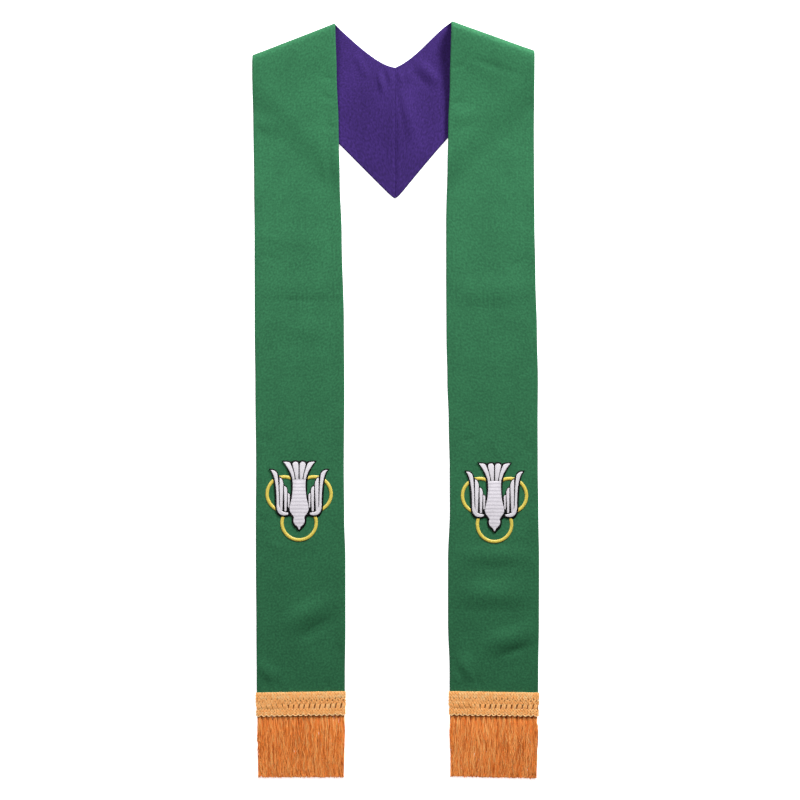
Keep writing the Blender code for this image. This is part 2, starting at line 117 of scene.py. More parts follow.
def droop(share: float, ease: float = 0.1) -> float:
    """Turns a share into a fall from 1 to 0: level at first, steepest soon after, then easing out.

    Args:
        share: How far along, from 0 to 1.
        ease: How much of the start stays nearly level.

    Returns:
        The height's share.
    """
    share = max(0.0, min(1.0, share))
    run = (math.hypot(share, ease) - ease) / (math.hypot(1.0, ease) - ease)
    return (1.0 - run) ** 2


def curve_point(stops: tuple[Point2, ...], share: float) -> Point2:
    """The point this share of the way along a cubic curve with four control points.

    Args:
        stops: The curve's start, its two inner control points and its end.
        share: How far along it, from 0 to 1.

    Returns:
        The point.
    """
    left = 1.0 - share
    weights = (left**3, 3 * left * left * share, 3 * left * share * share, share**3)
    x, y = (sum(w * stop[axis] for w, stop in zip(weights, stops)) for axis in (0, 1))
    return x, y


def curved(points: list[Point2], *runs: tuple[int, Point2, Point2, Point2]) -> list[Point2]:
    """Draws cubic curves on from the last of some points.

    Args:
        points: The points so far.
        runs: For each curve how many points to add, its two inner control points and its end.

    Returns:
        The same list, with the new points added.
    """
    for count, first, second, end in runs:
        stops = (points[-1], first, second, end)
        points += [curve_point(stops, step / count) for step in range(1, count + 1)]
    return points


def linear(hex_colour: str) -> tuple[float, float, float, float]:
    """Turns an sRGB hex colour into Blender's linear one, with full alpha.

    Args:
        hex_colour: The colour, as a hash and six digits.

    Returns:
        Red, green, blue and alpha.
    """
    parts = [int(hex_colour[i : i + 2], 16) / 255 for i in (1, 3, 5)]
    r, g, b = (c / 12.92 if c <= 0.04045 else ((c + 0.055) / 1.055) ** 2.4 for c in parts)
    return r, g, b, 1.0


def add_node(tree: Tree, kind: str, settings: dict | None = None, links: dict | None = None) -> Node:
    """Adds one shader node to a tree with its settings and links.

    Args:
        tree: The node tree.
        kind: Blender's name for the node's type, after "ShaderNode".
        settings: Values by name, of the node itself or else of its input with that name.
        links: Output sockets by the name of the input that each one feeds.

    Returns:
        The new node.
    """
    node = tree.nodes.new("ShaderNode" + kind)
    for name, value in (settings or {}).items():
        if hasattr(node, name):
            setattr(node, name, value)
        else:
            node.inputs[name].default_value = value
    for name, socket in (links or {}).items():
        tree.links.new(socket, node.inputs[name])
    return node


def noise_value(tree: Tree, place: Socket, grain_mm: float, detail: float, roughness: float = 0.5) -> Socket:
    """Adds a noise with grains of this size."""
    settings = {"Scale": 1000 / grain_mm, "Detail": detail, "Roughness": roughness}
    return add_node(tree, "TexNoise", settings, {"Vector": place}).outputs["Fac"]


def wave_value(tree: Tree, place: Socket, pitch_mm: float, unevenness: float, detail: float = 1.0) -> Socket:
    """Adds bands of this pitch along the place's first axis."""
    settings = {"Scale": ONE_MM_WAVE / pitch_mm, "Distortion": unevenness, "Detail Scale": detail}
    return add_node(tree, "TexWave", settings, {"Vector": place}).outputs["Fac"]


def mixed_value(tree: Tree, first: Socket, second: Socket, share: float) -> Socket:
    """Adds a blend of two values, with this share of the second one."""
    settings = {"data_type": "FLOAT", "Factor": share}
    return add_node(tree, "Mix", settings, {"A": first, "B": second}).outputs[0]


def ramp(tree: Tree, source: Socket, stops: dict[float, str]) -> Socket:
    """Adds a colour ramp, with hex colours by their place from 0 to 1.

    Args:
        tree: The node tree.
        source: The value that picks the colour.
        stops: Hex colours by their place.

    Returns:
        The colour.
    """
    node = add_node(tree, "ValToRGB", links={"Fac": source})
    elements = node.color_ramp.elements
    places = sorted(stops)
    elements[0].position, elements[1].position = places[0], places[-1]
    for place in places[1:-1]:
        elements.new(place)
    for element, place in zip(elements, places):
        element.color = linear(stops[place])
    return node.outputs["Color"]


def new_material(name: str, **sockets: float) -> tuple[Material, Node]:
    """Makes a material with constants on its shader's own sockets.

    Args:
        name: The material's name.
        sockets: Socket values, with underscores for the spaces in their names.

    Returns:
        The material and its Principled shader.
    """
    made = bpy.data.materials.new(name)
    made.use_nodes = True
    shader = made.node_tree.nodes["Principled BSDF"]
    for socket, value in sockets.items():
        shader.inputs[socket.replace("_", " ")].default_value = value
    return made, shader


def dress(tree: Tree, shader: Node, colour: Socket, height: Socket, strength: float, depth: float) -> None:
    """Gives a shader its colour, and a bump that is this many millimetres deep.

    Args:
        tree: The material's node tree.
        shader: Its Principled shader.
        colour: The colour.
        height: The relief.
        strength: The bump's strength, from 0 to 1.
        depth: The relief's depth, in millimetres.
    """
    bump = add_node(tree, "Bump", {"Strength": strength, "Distance": depth * MM}, {"Height": height})
    tree.links.new(colour, shader.inputs["Base Color"])
    tree.links.new(bump.outputs["Normal"], shader.inputs["Normal"])


@dataclass(frozen=True)
class Gabardine:
    """Spun polyester gabardine, a matt twill: its steep rib shows only as a fine grain at this distance."""

    name: str
    dark: str
    middle: str
    light: str
    rib_pitch_mm: float = 1.5
    rib_turn: float = 63.0
    grain_mm: float = 3.0
    mottle_mm: float = 45.0

    def build(self) -> Material:
        """Makes the woven cloth's material on the piece's own UV map, which is in metres.

        Returns:
            The material.
        """
        made, shader = new_material(self.name, Roughness=0.85, IOR=1.5, Specular_IOR_Level=0.15)
        tree = made.node_tree
        place = add_node(tree, "UVMap", {"uv_map": "UVMap"}).outputs["UV"]
        mottle = noise_value(tree, place, self.mottle_mm, 5.0, 0.62)
        grain = noise_value(tree, place, self.grain_mm, 2.0)
        shade = mixed_value(tree, mottle, grain, 0.72)
        colour = ramp(tree, shade, {0.36: self.dark, 0.5: self.middle, 0.64: self.light})
        # The real rib is 0.4 mm apart: it is drawn coarser so that the render can show it
        turn = {"Rotation": (0, 0, math.radians(self.rib_turn))}
        slant = add_node(tree, "Mapping", turn, {"Vector": place}).outputs["Vector"]
        rib = wave_value(tree, slant, self.rib_pitch_mm, 0.6, 2.0)
        relief = add_node(tree, "Math", {"operation": "ADD"}, {0: rib, 1: grain}).outputs[0]
        dress(tree, shader, colour, relief, 0.35, 0.12)
        return made


@dataclass(frozen=True)
class TwistedThread:
    """Loosely plied rayon or cotton: streaks run along each thread, and each one has its own shade, which on
    the braid's slots and the fringe also holds painted shade and painted highlights.
    """

    name: str
    dark: str
    middle: str
    light: str
    roughness: float = 0.42
    streak_mm: float = 0.7

    def build(self) -> Material:
        """Makes the thread's material from its shade attribute and a fine fleck.

        Returns:
            The material.
        """
        made, shader = new_material(
            self.name, Roughness=self.roughness, IOR=1.52, Sheen_Weight=0.04, Specular_IOR_Level=0.4
        )
        tree = made.node_tree
        shade = add_node(tree, "Attribute", {"attribute_name": "thread_shade"}).outputs["Fac"]
        place = add_node(tree, "TexCoord").outputs["Object"]
        fleck = noise_value(tree, place, self.streak_mm, 2.0)
        mixed = mixed_value(tree, shade, fleck, 0.3)
        colour = ramp(tree, mixed, {0.12: self.dark, 0.5: self.middle, 0.88: self.light})
        dress(tree, shader, colour, fleck, 0.4, 0.15)
        return made


@dataclass(frozen=True)
class SatinStitch:
    """Trilobal embroidery thread laid side by side: glossy, with a rib for each thread.

    A fill stitch also has soft bands across it, where the rows of needle holes fall.
    """

    name: str
    painted_groove_shade: str
    thread: str
    roughness: float = 0.38
    thread_mm: float = 1.1
    sheen: float = 0.1
    gloss: float = 0.5
    band_mm: float = 0.0

    def build(self) -> Material:
        """Makes the stitched material; the UV map's U axis runs from thread to thread, in metres.

        Returns:
            The material.
        """
        made, shader = new_material(
            self.name,
            Roughness=self.roughness,
            IOR=1.52,
            Sheen_Weight=self.sheen,
            Specular_IOR_Level=self.gloss,
        )
        tree = made.node_tree
        place = add_node(tree, "UVMap", {"uv_map": "UVMap"}).outputs["UV"]
        # Embroidery thread is 0.4 mm wide: it is drawn coarser so that the render can show it
        height = wave_value(tree, place, self.thread_mm, 0.5)
        shade = height
        if self.band_mm > 0.0:
            band = wave_value(tree, place, self.band_mm, 1.4)
            shade = mixed_value(tree, height, band, 0.62)
        # The grooves between the threads are painted darker than the threads: painted shade.
        colour = ramp(tree, shade, {0.05: self.painted_groove_shade, 0.6: self.thread, 1.0: self.thread})
        dress(tree, shader, colour, height, 0.25, 0.3)
        return made


@dataclass(frozen=True)
class EdgePlace:
    """The strip's inner and outer edges at one place along the front."""

    along: float
    inner: float
    outer: float


def edge_places(*rows: tuple[float, float, float]) -> tuple[EdgePlace, ...]:
    """Edge places from rows of along, inner and outer."""
    return tuple(EdgePlace(*row) for row in rows)


@dataclass(frozen=True)
class Crease:
    """A soft crease: a mound, or a dent where its height is below zero, on a turned oval."""

    across: float
    along: float
    turn: float
    half_length: float
    half_width: float
    height: float

    def at(self, across: float, along: float) -> float:
        """The crease's height at a place, which is level with the cloth at the oval's rim.

        Args:
            across: The place across the strip.
            along: The place along the garment.

        Returns:
            The height, in millimetres.
        """
        turn = math.radians(self.turn)
        right, up = across - self.across, along - self.along
        along_it = (right * math.cos(turn) + up * math.sin(turn)) / self.half_length
        over_it = (up * math.cos(turn) - right * math.sin(turn)) / self.half_width
        if abs(along_it) >= 1.0 or abs(over_it) >= 1.0:
            return 0.0
        return self.height * (math.cos(math.pi / 2 * along_it) * math.cos(math.pi / 2 * over_it)) ** 2


def creases(*rows: tuple[float, ...]) -> tuple[Crease, ...]:
    """Creases from rows of across, along, turn, half_length, half_width and height."""
    return tuple(Crease(*row) for row in rows)


def total_height(marks: tuple[Crease, ...], across: float, along: float) -> float:
    """What some creases add up to at a place."""
    return sum(mark.at(across, along) for mark in marks)


@dataclass(frozen=True)
class HalfShape:
    """One half of the stole: its outline, its shoulder fold and its creases.

    The folds lift both cloths, much as they do the solids. The dents lie in the top cloth alone: on the
    green face of the front, and on the purple lining of the yoke.
    """

    side: Side
    edges: tuple[EdgePlace, ...]
    fold_outer: float
    fold_inner: float
    loft_outer: float
    loft_inner: float
    neck_out: Point2
    neck_in: Point2
    tip_sag: float
    front_folds: tuple[Crease, ...]
    yoke_folds: tuple[Crease, ...]
    front_dents: tuple[Crease, ...]
    yoke_dents: tuple[Crease, ...]
    emblem: Point2
    fringe_lean: float
    fringe_skew: float
    seed: int

    hem: float = -435.0
    hem_skew: float = 2.0
    fold_reach: float = 8.0
    fold_slope: float = 135.0
    stack_outer: float = 4.6
    stack_inner: float = 6.2
    step_margin: float = 16.0
    step_ramp: float = 46.0
    neck_along: float = 483.0
    tip_low: float = 289.5
    tip_round: float = 4.0
    row_slant: float = 1.07
    seam_lap: float = -0.05
    halvings: int = 30

    @property
    def sign(self) -> int:
        """-1 on the left half and 1 on the right one."""
        return self.side.value

    def edge(self, along: float, column: str) -> float:
        """The strip's "inner" or "outer" edge at a place along the front.

        Args:
            along: The place along the garment.
            column: The edge, "inner" or "outer".

        Returns:
            How far across the edge lies.
        """
        for low, high in zip(self.edges, self.edges[1:]):
            if along <= high.along:
                share = smooth((along - low.along) / (high.along - low.along))
                return lerp(getattr(low, column), getattr(high, column), share)
        return getattr(self.edges[-1], column)

    def corners(self) -> tuple[Point2, Point2]:
        """Where the fold meets the strip's outer and inner edges.

        Returns:
            The outer corner and the inner one.
        """
        outer = (self.edge(self.fold_outer, "outer"), self.fold_outer)
        inner = (self.edge(self.fold_inner, "inner"), self.fold_inner)
        return outer, inner

    def hem_along(self, across: float) -> float:
        """The hem's place along the garment, a little lower at its outer end."""
        return self.hem - self.hem_skew * (across - STRIP_INNER) / STRIP_WIDTH

    def mean_fold(self) -> float:
        """The middle of the fold, along the garment."""
        return (self.fold_outer + self.fold_inner) / 2.0

    def front_row(self, drop: float) -> list[Point2]:
        """Outer and inner ends of the section that lies this far below the fold.

        Args:
            drop: The section's distance below the fold.

        Returns:
            The two ends.
        """
        ends = []
        for corner, column in zip(self.corners(), ("outer", "inner")):
            low = self.hem_along(corner[0])
            along = lerp(corner[1], low, drop / (self.mean_fold() - self.hem))
            ends.append((self.edge(along, column), along))
        return ends

    def tip_edge(self, across: float) -> float:
        """The yoke's lower edge, from the point at the centre back out to the fold.

        Args:
            across: The place across the strip.

        Returns:
            The edge's place along the garment.
        """
        corner = self.corners()[0]
        reach = math.hypot(corner[0], self.tip_round)
        slope = (corner[1] - self.tip_low + self.tip_sag * corner[0] ** 2) / reach
        return self.tip_low + slope * math.hypot(across, self.tip_round) - self.tip_sag * across**2

    def yoke_outer(self, travel: float) -> Point2:
        """A point of the yoke's lower edge, by its travel from the fold to the centre back."""
        across = lerp(self.corners()[0][0], self.seam_lap, travel)
        return across, self.tip_edge(across)

    def yoke_inner(self, travel: float) -> Point2:
        """A point of the neckline, by its travel from the fold to the centre back.

        Args:
            travel: The share of the way, from 0 at the fold to 1.

        Returns:
            The point.
        """
        if travel <= 0.0:
            return self.corners()[1]
        stops = (self.corners()[1], self.neck_out, self.neck_in, (self.seam_lap, self.neck_along))
        return curve_point(stops, travel)

    def fold_distance(self, point: Point2) -> float:
        """How far a point lies inside the fold's line.

        Args:
            point: The place, across and along.

        Returns:
            The distance, which is below zero outside the line.
        """
        outer, inner = self.corners()
        run = (outer[0] - inner[0], outer[1] - inner[1])
        long = math.hypot(*run)
        return ((point[0] - inner[0]) * run[1] - (point[1] - inner[1]) * run[0]) / long

    def travel_at(self, edge: Callable[[float], Point2], distance: float) -> float:
        """The travel at which one of the yoke's edges is this far inside the fold's line.

        Args:
            edge: The edge, which gives a point for each travel.
            distance: The distance to find.

        Returns:
            The travel.
        """
        low, high = 0.0, 0.5
        for _ in range(self.halvings):
            middle = (low + high) / 2.0
            if self.fold_distance(edge(middle)) < distance:
                low = middle
            else:
                high = middle
        return low

    def front_height(self, across: float, along: float, column: float) -> float:
        """Height of the front, which lies on the yoke at the shoulder and on the table below it.

        Args:
            across: The place across the strip.
            along: The place along the garment.
            column: The share of the strip's width, from its outer edge.

        Returns:
            The height of the surface where face and lining meet.
        """
        outside = (self.tip_edge(across) - along) / math.sqrt(2.0)
        step = 1.0 - smooth((outside - self.step_margin) / self.step_ramp)
        stack = lerp(self.stack_outer, self.stack_inner, column)
        top = YOKE_REST + 2.0 * lerp(self.loft_outer, self.loft_inner, column)
        away = self.fold_distance((across, along))
        loft = droop((away - self.fold_reach) / self.fold_slope)
        folds = total_height(self.front_folds, across, along)
        return lerp(FRONT_REST, stack, step) + loft * (top - stack) + folds


@dataclass
class Weave:
    """The grid on which a half's cloths are modelled, finer than the solids', and their small unevenness."""

    front_step: float = 2.6
    fold_steps: int = 22
    yoke_rows: int = 92
    yoke_easing: float = 1.15
    column_step: float = 2.6
    edge_stops: tuple[float, ...] = (0.0, 0.2, 0.6, 1.2, 2.0, 3.2, 5.2, 7.6)
    roll: float = 2.4
    seam_roll: float = 0.45
    hem_allowance: float = 12.5
    hem_step: float = 0.16
    hem_ramp: float = 1.6
    wide_ripple: float = 42.0
    fine_ripple: float = 17.0
    shell: float = 0.35

    def columns(self) -> list[float]:
        """Shares across the strip, close together at its rolled edges.

        Returns:
            The shares, from the strip's outer edge to its inner one.
        """
        inside = STRIP_WIDTH - 2 * self.edge_stops[-1]
        count = round(inside / self.column_step)
        middle = [self.edge_stops[-1] + inside * i / count for i in range(1, count)]
        far = [STRIP_WIDTH - stop for stop in reversed(self.edge_stops)]
        return [x / STRIP_WIDTH for x in [*self.edge_stops, *middle, *far]]


@dataclass(frozen=True)
class Knot:
    """A point of the surface where face and lining meet."""

    place: Point3
    on_yoke: bool


class ClothHalf:
    """One half of the stole: the green face and the purple lining, sewn edge to edge."""

    def __init__(self, shape: HalfShape, weave: Weave) -> None:
        """Works out the middle surface once for both cloths.

        Args:
            shape: The half's shape.
            weave: The grid that it is modelled on.
        """
        self.shape = shape
        self.weave = weave
        self.columns = weave.columns()
        self.rows = self.sections()
        self.normals = self.face_normals()

    def sections(self) -> list[list[Knot]]:
        """Rows of the middle surface, from the hem over the shoulder to the centre back.

        Returns:
            The rows, each from the strip's outer edge to its inner one.
        """
        shape, weave = self.shape, self.weave
        rows = []
        top = shape.fold_reach * shape.row_slant
        bottom = shape.mean_fold() - shape.hem
        count = round((bottom - top) / weave.front_step)
        for step in range(count + 1):
            ends = shape.front_row(lerp(bottom, top, step / count))
            rows.append(self.section(ends, False, shape.front_height))
        half = weave.fold_steps // 2
        for step in range(1, 2 * half):
            turn = math.pi / 2 * (1.0 - step / half)
            distance = shape.fold_reach * (1.0 - math.cos(turn))
            if step <= half:
                ends = shape.front_row(distance * shape.row_slant)
            else:
                ends = self.yoke_ends(distance, 0.0)
            rise = 1.0 + math.sin(turn)

            def loop_height(across: float, along: float, column: float, rise: float = rise) -> float:
                """Height on the shoulder's standing loop."""
                return YOKE_REST + lerp(shape.loft_outer, shape.loft_inner, column) * rise

            rows.append(self.section(ends, step >= half, loop_height))

        def yoke_height(across: float, along: float, column: float) -> float:
            """Height on the yoke."""
            return YOKE_REST + total_height(shape.yoke_folds, across, along)

        for step in range(weave.yoke_rows + 1):
            share = 1.0 - (1.0 - step / weave.yoke_rows) ** weave.yoke_easing
            rows.append(self.section(self.yoke_ends(shape.fold_reach, share), True, yoke_height))
        return rows

    def yoke_ends(self, distance: float, share: float) -> list[Point2]:
        """Outer and inner ends of a yoke section, by distance from the fold and then by share of the rest.

        Args:
            distance: The first section's distance inside the fold's line.
            share: The share of the rest.

        Returns:
            The two ends.
        """
        ends = []
        for edge in (self.shape.yoke_outer, self.shape.yoke_inner):
            start = self.shape.travel_at(edge, distance)
            ends.append(edge(lerp(start, 1.0, share)))
        return ends

    def section(
        self, ends: list[Point2], on_yoke: bool, height: Callable[[float, float, float], float]
    ) -> list[Knot]:
        """One row of knots between two ends, at a height for each place.

        Args:
            ends: The row's outer end and its inner one.
            on_yoke: Whether the row lies on the yoke.
            height: Gives the height by place across, place along and share of the width.

        Returns:
            The knots, from the outer end on.
        """
        row = []
        for column in self.columns:
            across = lerp(ends[0][0], ends[1][0], column)
            along = lerp(ends[0][1], ends[1][1], column)
            row.append(Knot((across, along, height(across, along, column)), on_yoke))
        return row

    def face_normals(self) -> list[list[Vector]]:
        """The face side's direction at every knot.

        Returns:
            The directions, in rows as the knots are.
        """
        found = []
        last = len(self.rows) - 1
        for i, row in enumerate(self.rows):
            line = []
            above, below = self.rows[min(i + 1, last)], self.rows[max(i - 1, 0)]
            for j in range(len(row)):
                up = Vector(above[j].place) - Vector(below[j].place)
                over = Vector(row[min(j + 1, len(row) - 1)].place) - Vector(row[max(j - 1, 0)].place)
                line.append(up.cross(over).normalized())
            found.append(line)
        return found

    def edge_distances(self, i: int, j: int) -> tuple[float, float]:
        """How far a knot is from its strip's sides or hem, and from the centre back seam, in millimetres.

        Args:
            i: The knot's row.
            j: Its column.

        Returns:
            The two distances.
        """
        row = self.rows[i]
        width = math.dist(row[0].place, row[-1].place)
        side = min(self.columns[j], 1.0 - self.columns[j]) * width
        hem = math.dist(self.rows[0][j].place, row[j].place)
        seam = math.dist(self.rows[-1][j].place, row[j].place)
        return min(side, hem), seam

    def roll_over(self, away: float) -> float:
        """The share of the cloth's height that its rounded edge has reached this far in."""
        return math.sqrt(max(0.0, 1.0 - (1.0 - min(away / self.weave.roll, 1.0)) ** 2))

    def outward(self, layer: Layer, i: int, j: int) -> float:
        """How far the cloth's outer side stands off the middle surface at a knot.

        Args:
            layer: The cloth.
            i: The knot's row.
            j: Its column.

        Returns:
            The distance, in millimetres.
        """
        shape, weave, knot = self.shape, self.weave, self.rows[i][j]
        across, along = knot.place[:2]
        away, seam = self.edge_distances(i, j)
        rolled = min(self.roll_over(away), lerp(weave.seam_roll, 1.0, self.roll_over(seam)))
        thick = FACE_THICK if layer is Layer.FACE else LINING_THICK
        ripple = noise.noise(Vector((across, along, 40.0 * shape.seed)) / weave.wide_ripple)
        ripple += 0.45 * noise.noise(Vector((across, along, 90.0 * shape.seed)) / weave.fine_ripple)
        if layer is Layer.FACE and not knot.on_yoke:
            relief = total_height(shape.front_dents, across, along) + 0.16 * ripple
            relief += weave.hem_step * (1.0 - smooth((away - weave.hem_allowance) / weave.hem_ramp))
        elif layer is Layer.LINING and knot.on_yoke:
            relief = total_height(shape.yoke_dents, across, along) + 0.15 * ripple
        else:
            # The hidden side rests on the table, so its creases only hollow it
            relief = -0.3 * max(0.0, ripple)
        reach = HALF_GAP + (thick - 0.05 + relief) * rolled
        return max(0.25 * rolled, reach) - HALF_GAP * (1.0 - rolled)

    def build(self, layer: Layer, finish: Material) -> Object:
        """Models one cloth of the half as a thin shell.

        Args:
            layer: The green face or the purple lining.
            finish: The cloth's material.

        Returns:
            The finished piece.
        """
        bm = bmesh.new()
        across_cells, along_cells = len(self.columns) - 1, len(self.rows) - 1
        bmesh.ops.create_grid(bm, x_segments=across_cells, y_segments=along_cells, size=0.5)
        uv = bm.loops.layers.uv.new("UVMap")
        travelled = [0.0]
        middle = len(self.columns) // 2
        for low, high in zip(self.rows, self.rows[1:]):
            travelled.append(travelled[-1] + math.dist(low[middle].place, high[middle].place))
        side = 1.0 if layer is Layer.FACE else -1.0
        flat = {}
        for vert in bm.verts:
            j = round((vert.co.x + 0.5) * across_cells)
            i = round((vert.co.y + 0.5) * along_cells)
            flat[vert.index] = (self.columns[j] * STRIP_WIDTH * MM, travelled[i] * MM)
            moved = Vector(self.rows[i][j].place) + self.normals[i][j] * side * self.outward(layer, i, j)
            vert.co = (self.shape.sign * moved.x * MM, moved.y * MM, max(0.0, moved.z) * MM)
        for face in bm.faces:
            face.smooth = True
            for loop in face.loops:
                loop[uv].uv = flat[loop.vert.index]
        bm.normal_update()
        probe = min(bm.verts, key=lambda v: abs(v.co.y + 0.1) + abs(abs(v.co.x) - 0.14))
        if probe.normal.z * side < 0:
            bmesh.ops.reverse_faces(bm, faces=bm.faces)
        made = finish_piece(f"{self.shape.side.word}_{layer.value}_cloth", bm, finish)
        thicken(made, self.weave.shell)
        return made


def finish_piece(name: str, bm: BMesh, finish: Material) -> Object:
    """Turns a bmesh into a piece that rides on the stole.

    Args:
        name: The piece's name.
        bm: Its mesh, which is freed.
        finish: Its material.

    Returns:
        The new object.
    """
    mesh = bpy.data.meshes.new(name)
    bm.to_mesh(mesh)
    bm.free()
    mesh.materials.append(finish)
    made = bpy.data.objects.new(name, mesh)
    bpy.context.scene.collection.objects.link(made)
    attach(made, "root")
    LOG.info("%s: %d faces", name, len(mesh.polygons))
    return made


def thicken(piece: Object, thickness: float) -> None:
    """Gives a surface this thickness in millimetres, on its inner side.

    Args:
        piece: The surface.
        thickness: How thick it becomes.
    """
    wall = piece.modifiers.new("thickness", "SOLIDIFY")
    wall.thickness = thickness * MM
    wall.offset = -1.0


@dataclass
class Thread:
    """One thread, cord or strand: the points that it follows, in millimetres, its radius and its shades."""

    points: list[Point3]
    radius: float
    shade: float = 0.5
    taper: float = 1.0
    end_shade: float | None = None


def thread_piece(name: str, threads: list[Thread], finish: Material) -> Object:
    """Models many threads as one mesh, each swept round its path with four sides.

    Args:
        name: The piece's name.
        threads: The threads, in millimetres.
        finish: Their material, which reads each thread's shade.

    Returns:
        The finished piece.
    """
    curve = bpy.data.curves.new(name, "CURVE")
    curve.dimensions = "3D"
    curve.bevel_depth = MM
    curve.bevel_resolution = 0
    curve.use_fill_caps = True
    for thread in threads:
        spline = curve.splines.new("POLY")
        spline.points.add(len(thread.points) - 1)
        last = len(thread.points) - 1
        for number, (point, place) in enumerate(zip(spline.points, thread.points)):
            point.co = (place[0] * MM, place[1] * MM, place[2] * MM, 1.0)
            point.radius = thread.radius * lerp(1.0, thread.taper, number / last)
    holder = bpy.data.objects.new(name + "_path", curve)
    bpy.context.scene.collection.objects.link(holder)
    mesh = bpy.data.meshes.new_from_object(holder)
    bpy.data.objects.remove(holder)
    bm = bmesh.new()
    bm.from_mesh(mesh)
    bpy.data.meshes.remove(mesh)
    for layer in list(bm.loops.layers.uv.values()):
        bm.loops.layers.uv.remove(layer)
    shade = bm.verts.layers.float.new("thread_shade")
    bm.verts.ensure_lookup_table()
    start = 0
    for thread in threads:
        # A swept thread comes as its far cap, its near cap and then a ring of points for every stop
        stops = len(thread.points)
        shares = [1.0, 0.0, *(stop / (stops - 1) for stop in range(stops))]
        end_shade = thread.shade if thread.end_shade is None else thread.end_shade
        for share in shares:
            for vert in bm.verts[start : start + THREAD_SIDES]:
                vert[shade] = lerp(thread.shade, end_shade, share)
            start += THREAD_SIDES
    assert start == len(bm.verts), f"{name}: {len(bm.verts)} points for {start}"
    bmesh.ops.remove_doubles(bm, verts=bm.verts, dist=1e-7)
    for face in bm.faces:
        # The sides have four corners and the flat caps three
        face.smooth = len(face.verts) == THREAD_SIDES
        if not face.smooth:
            for edge in face.edges:
                edge.smooth = False
    return finish_piece(name, bm, finish)


@dataclass(frozen=True)
class Wrap:
    """Close threads that zigzag over the core cords, from one distance down the braid to another."""

    top: float
    foot: float
    pitch: float
    height: float
    radius: float


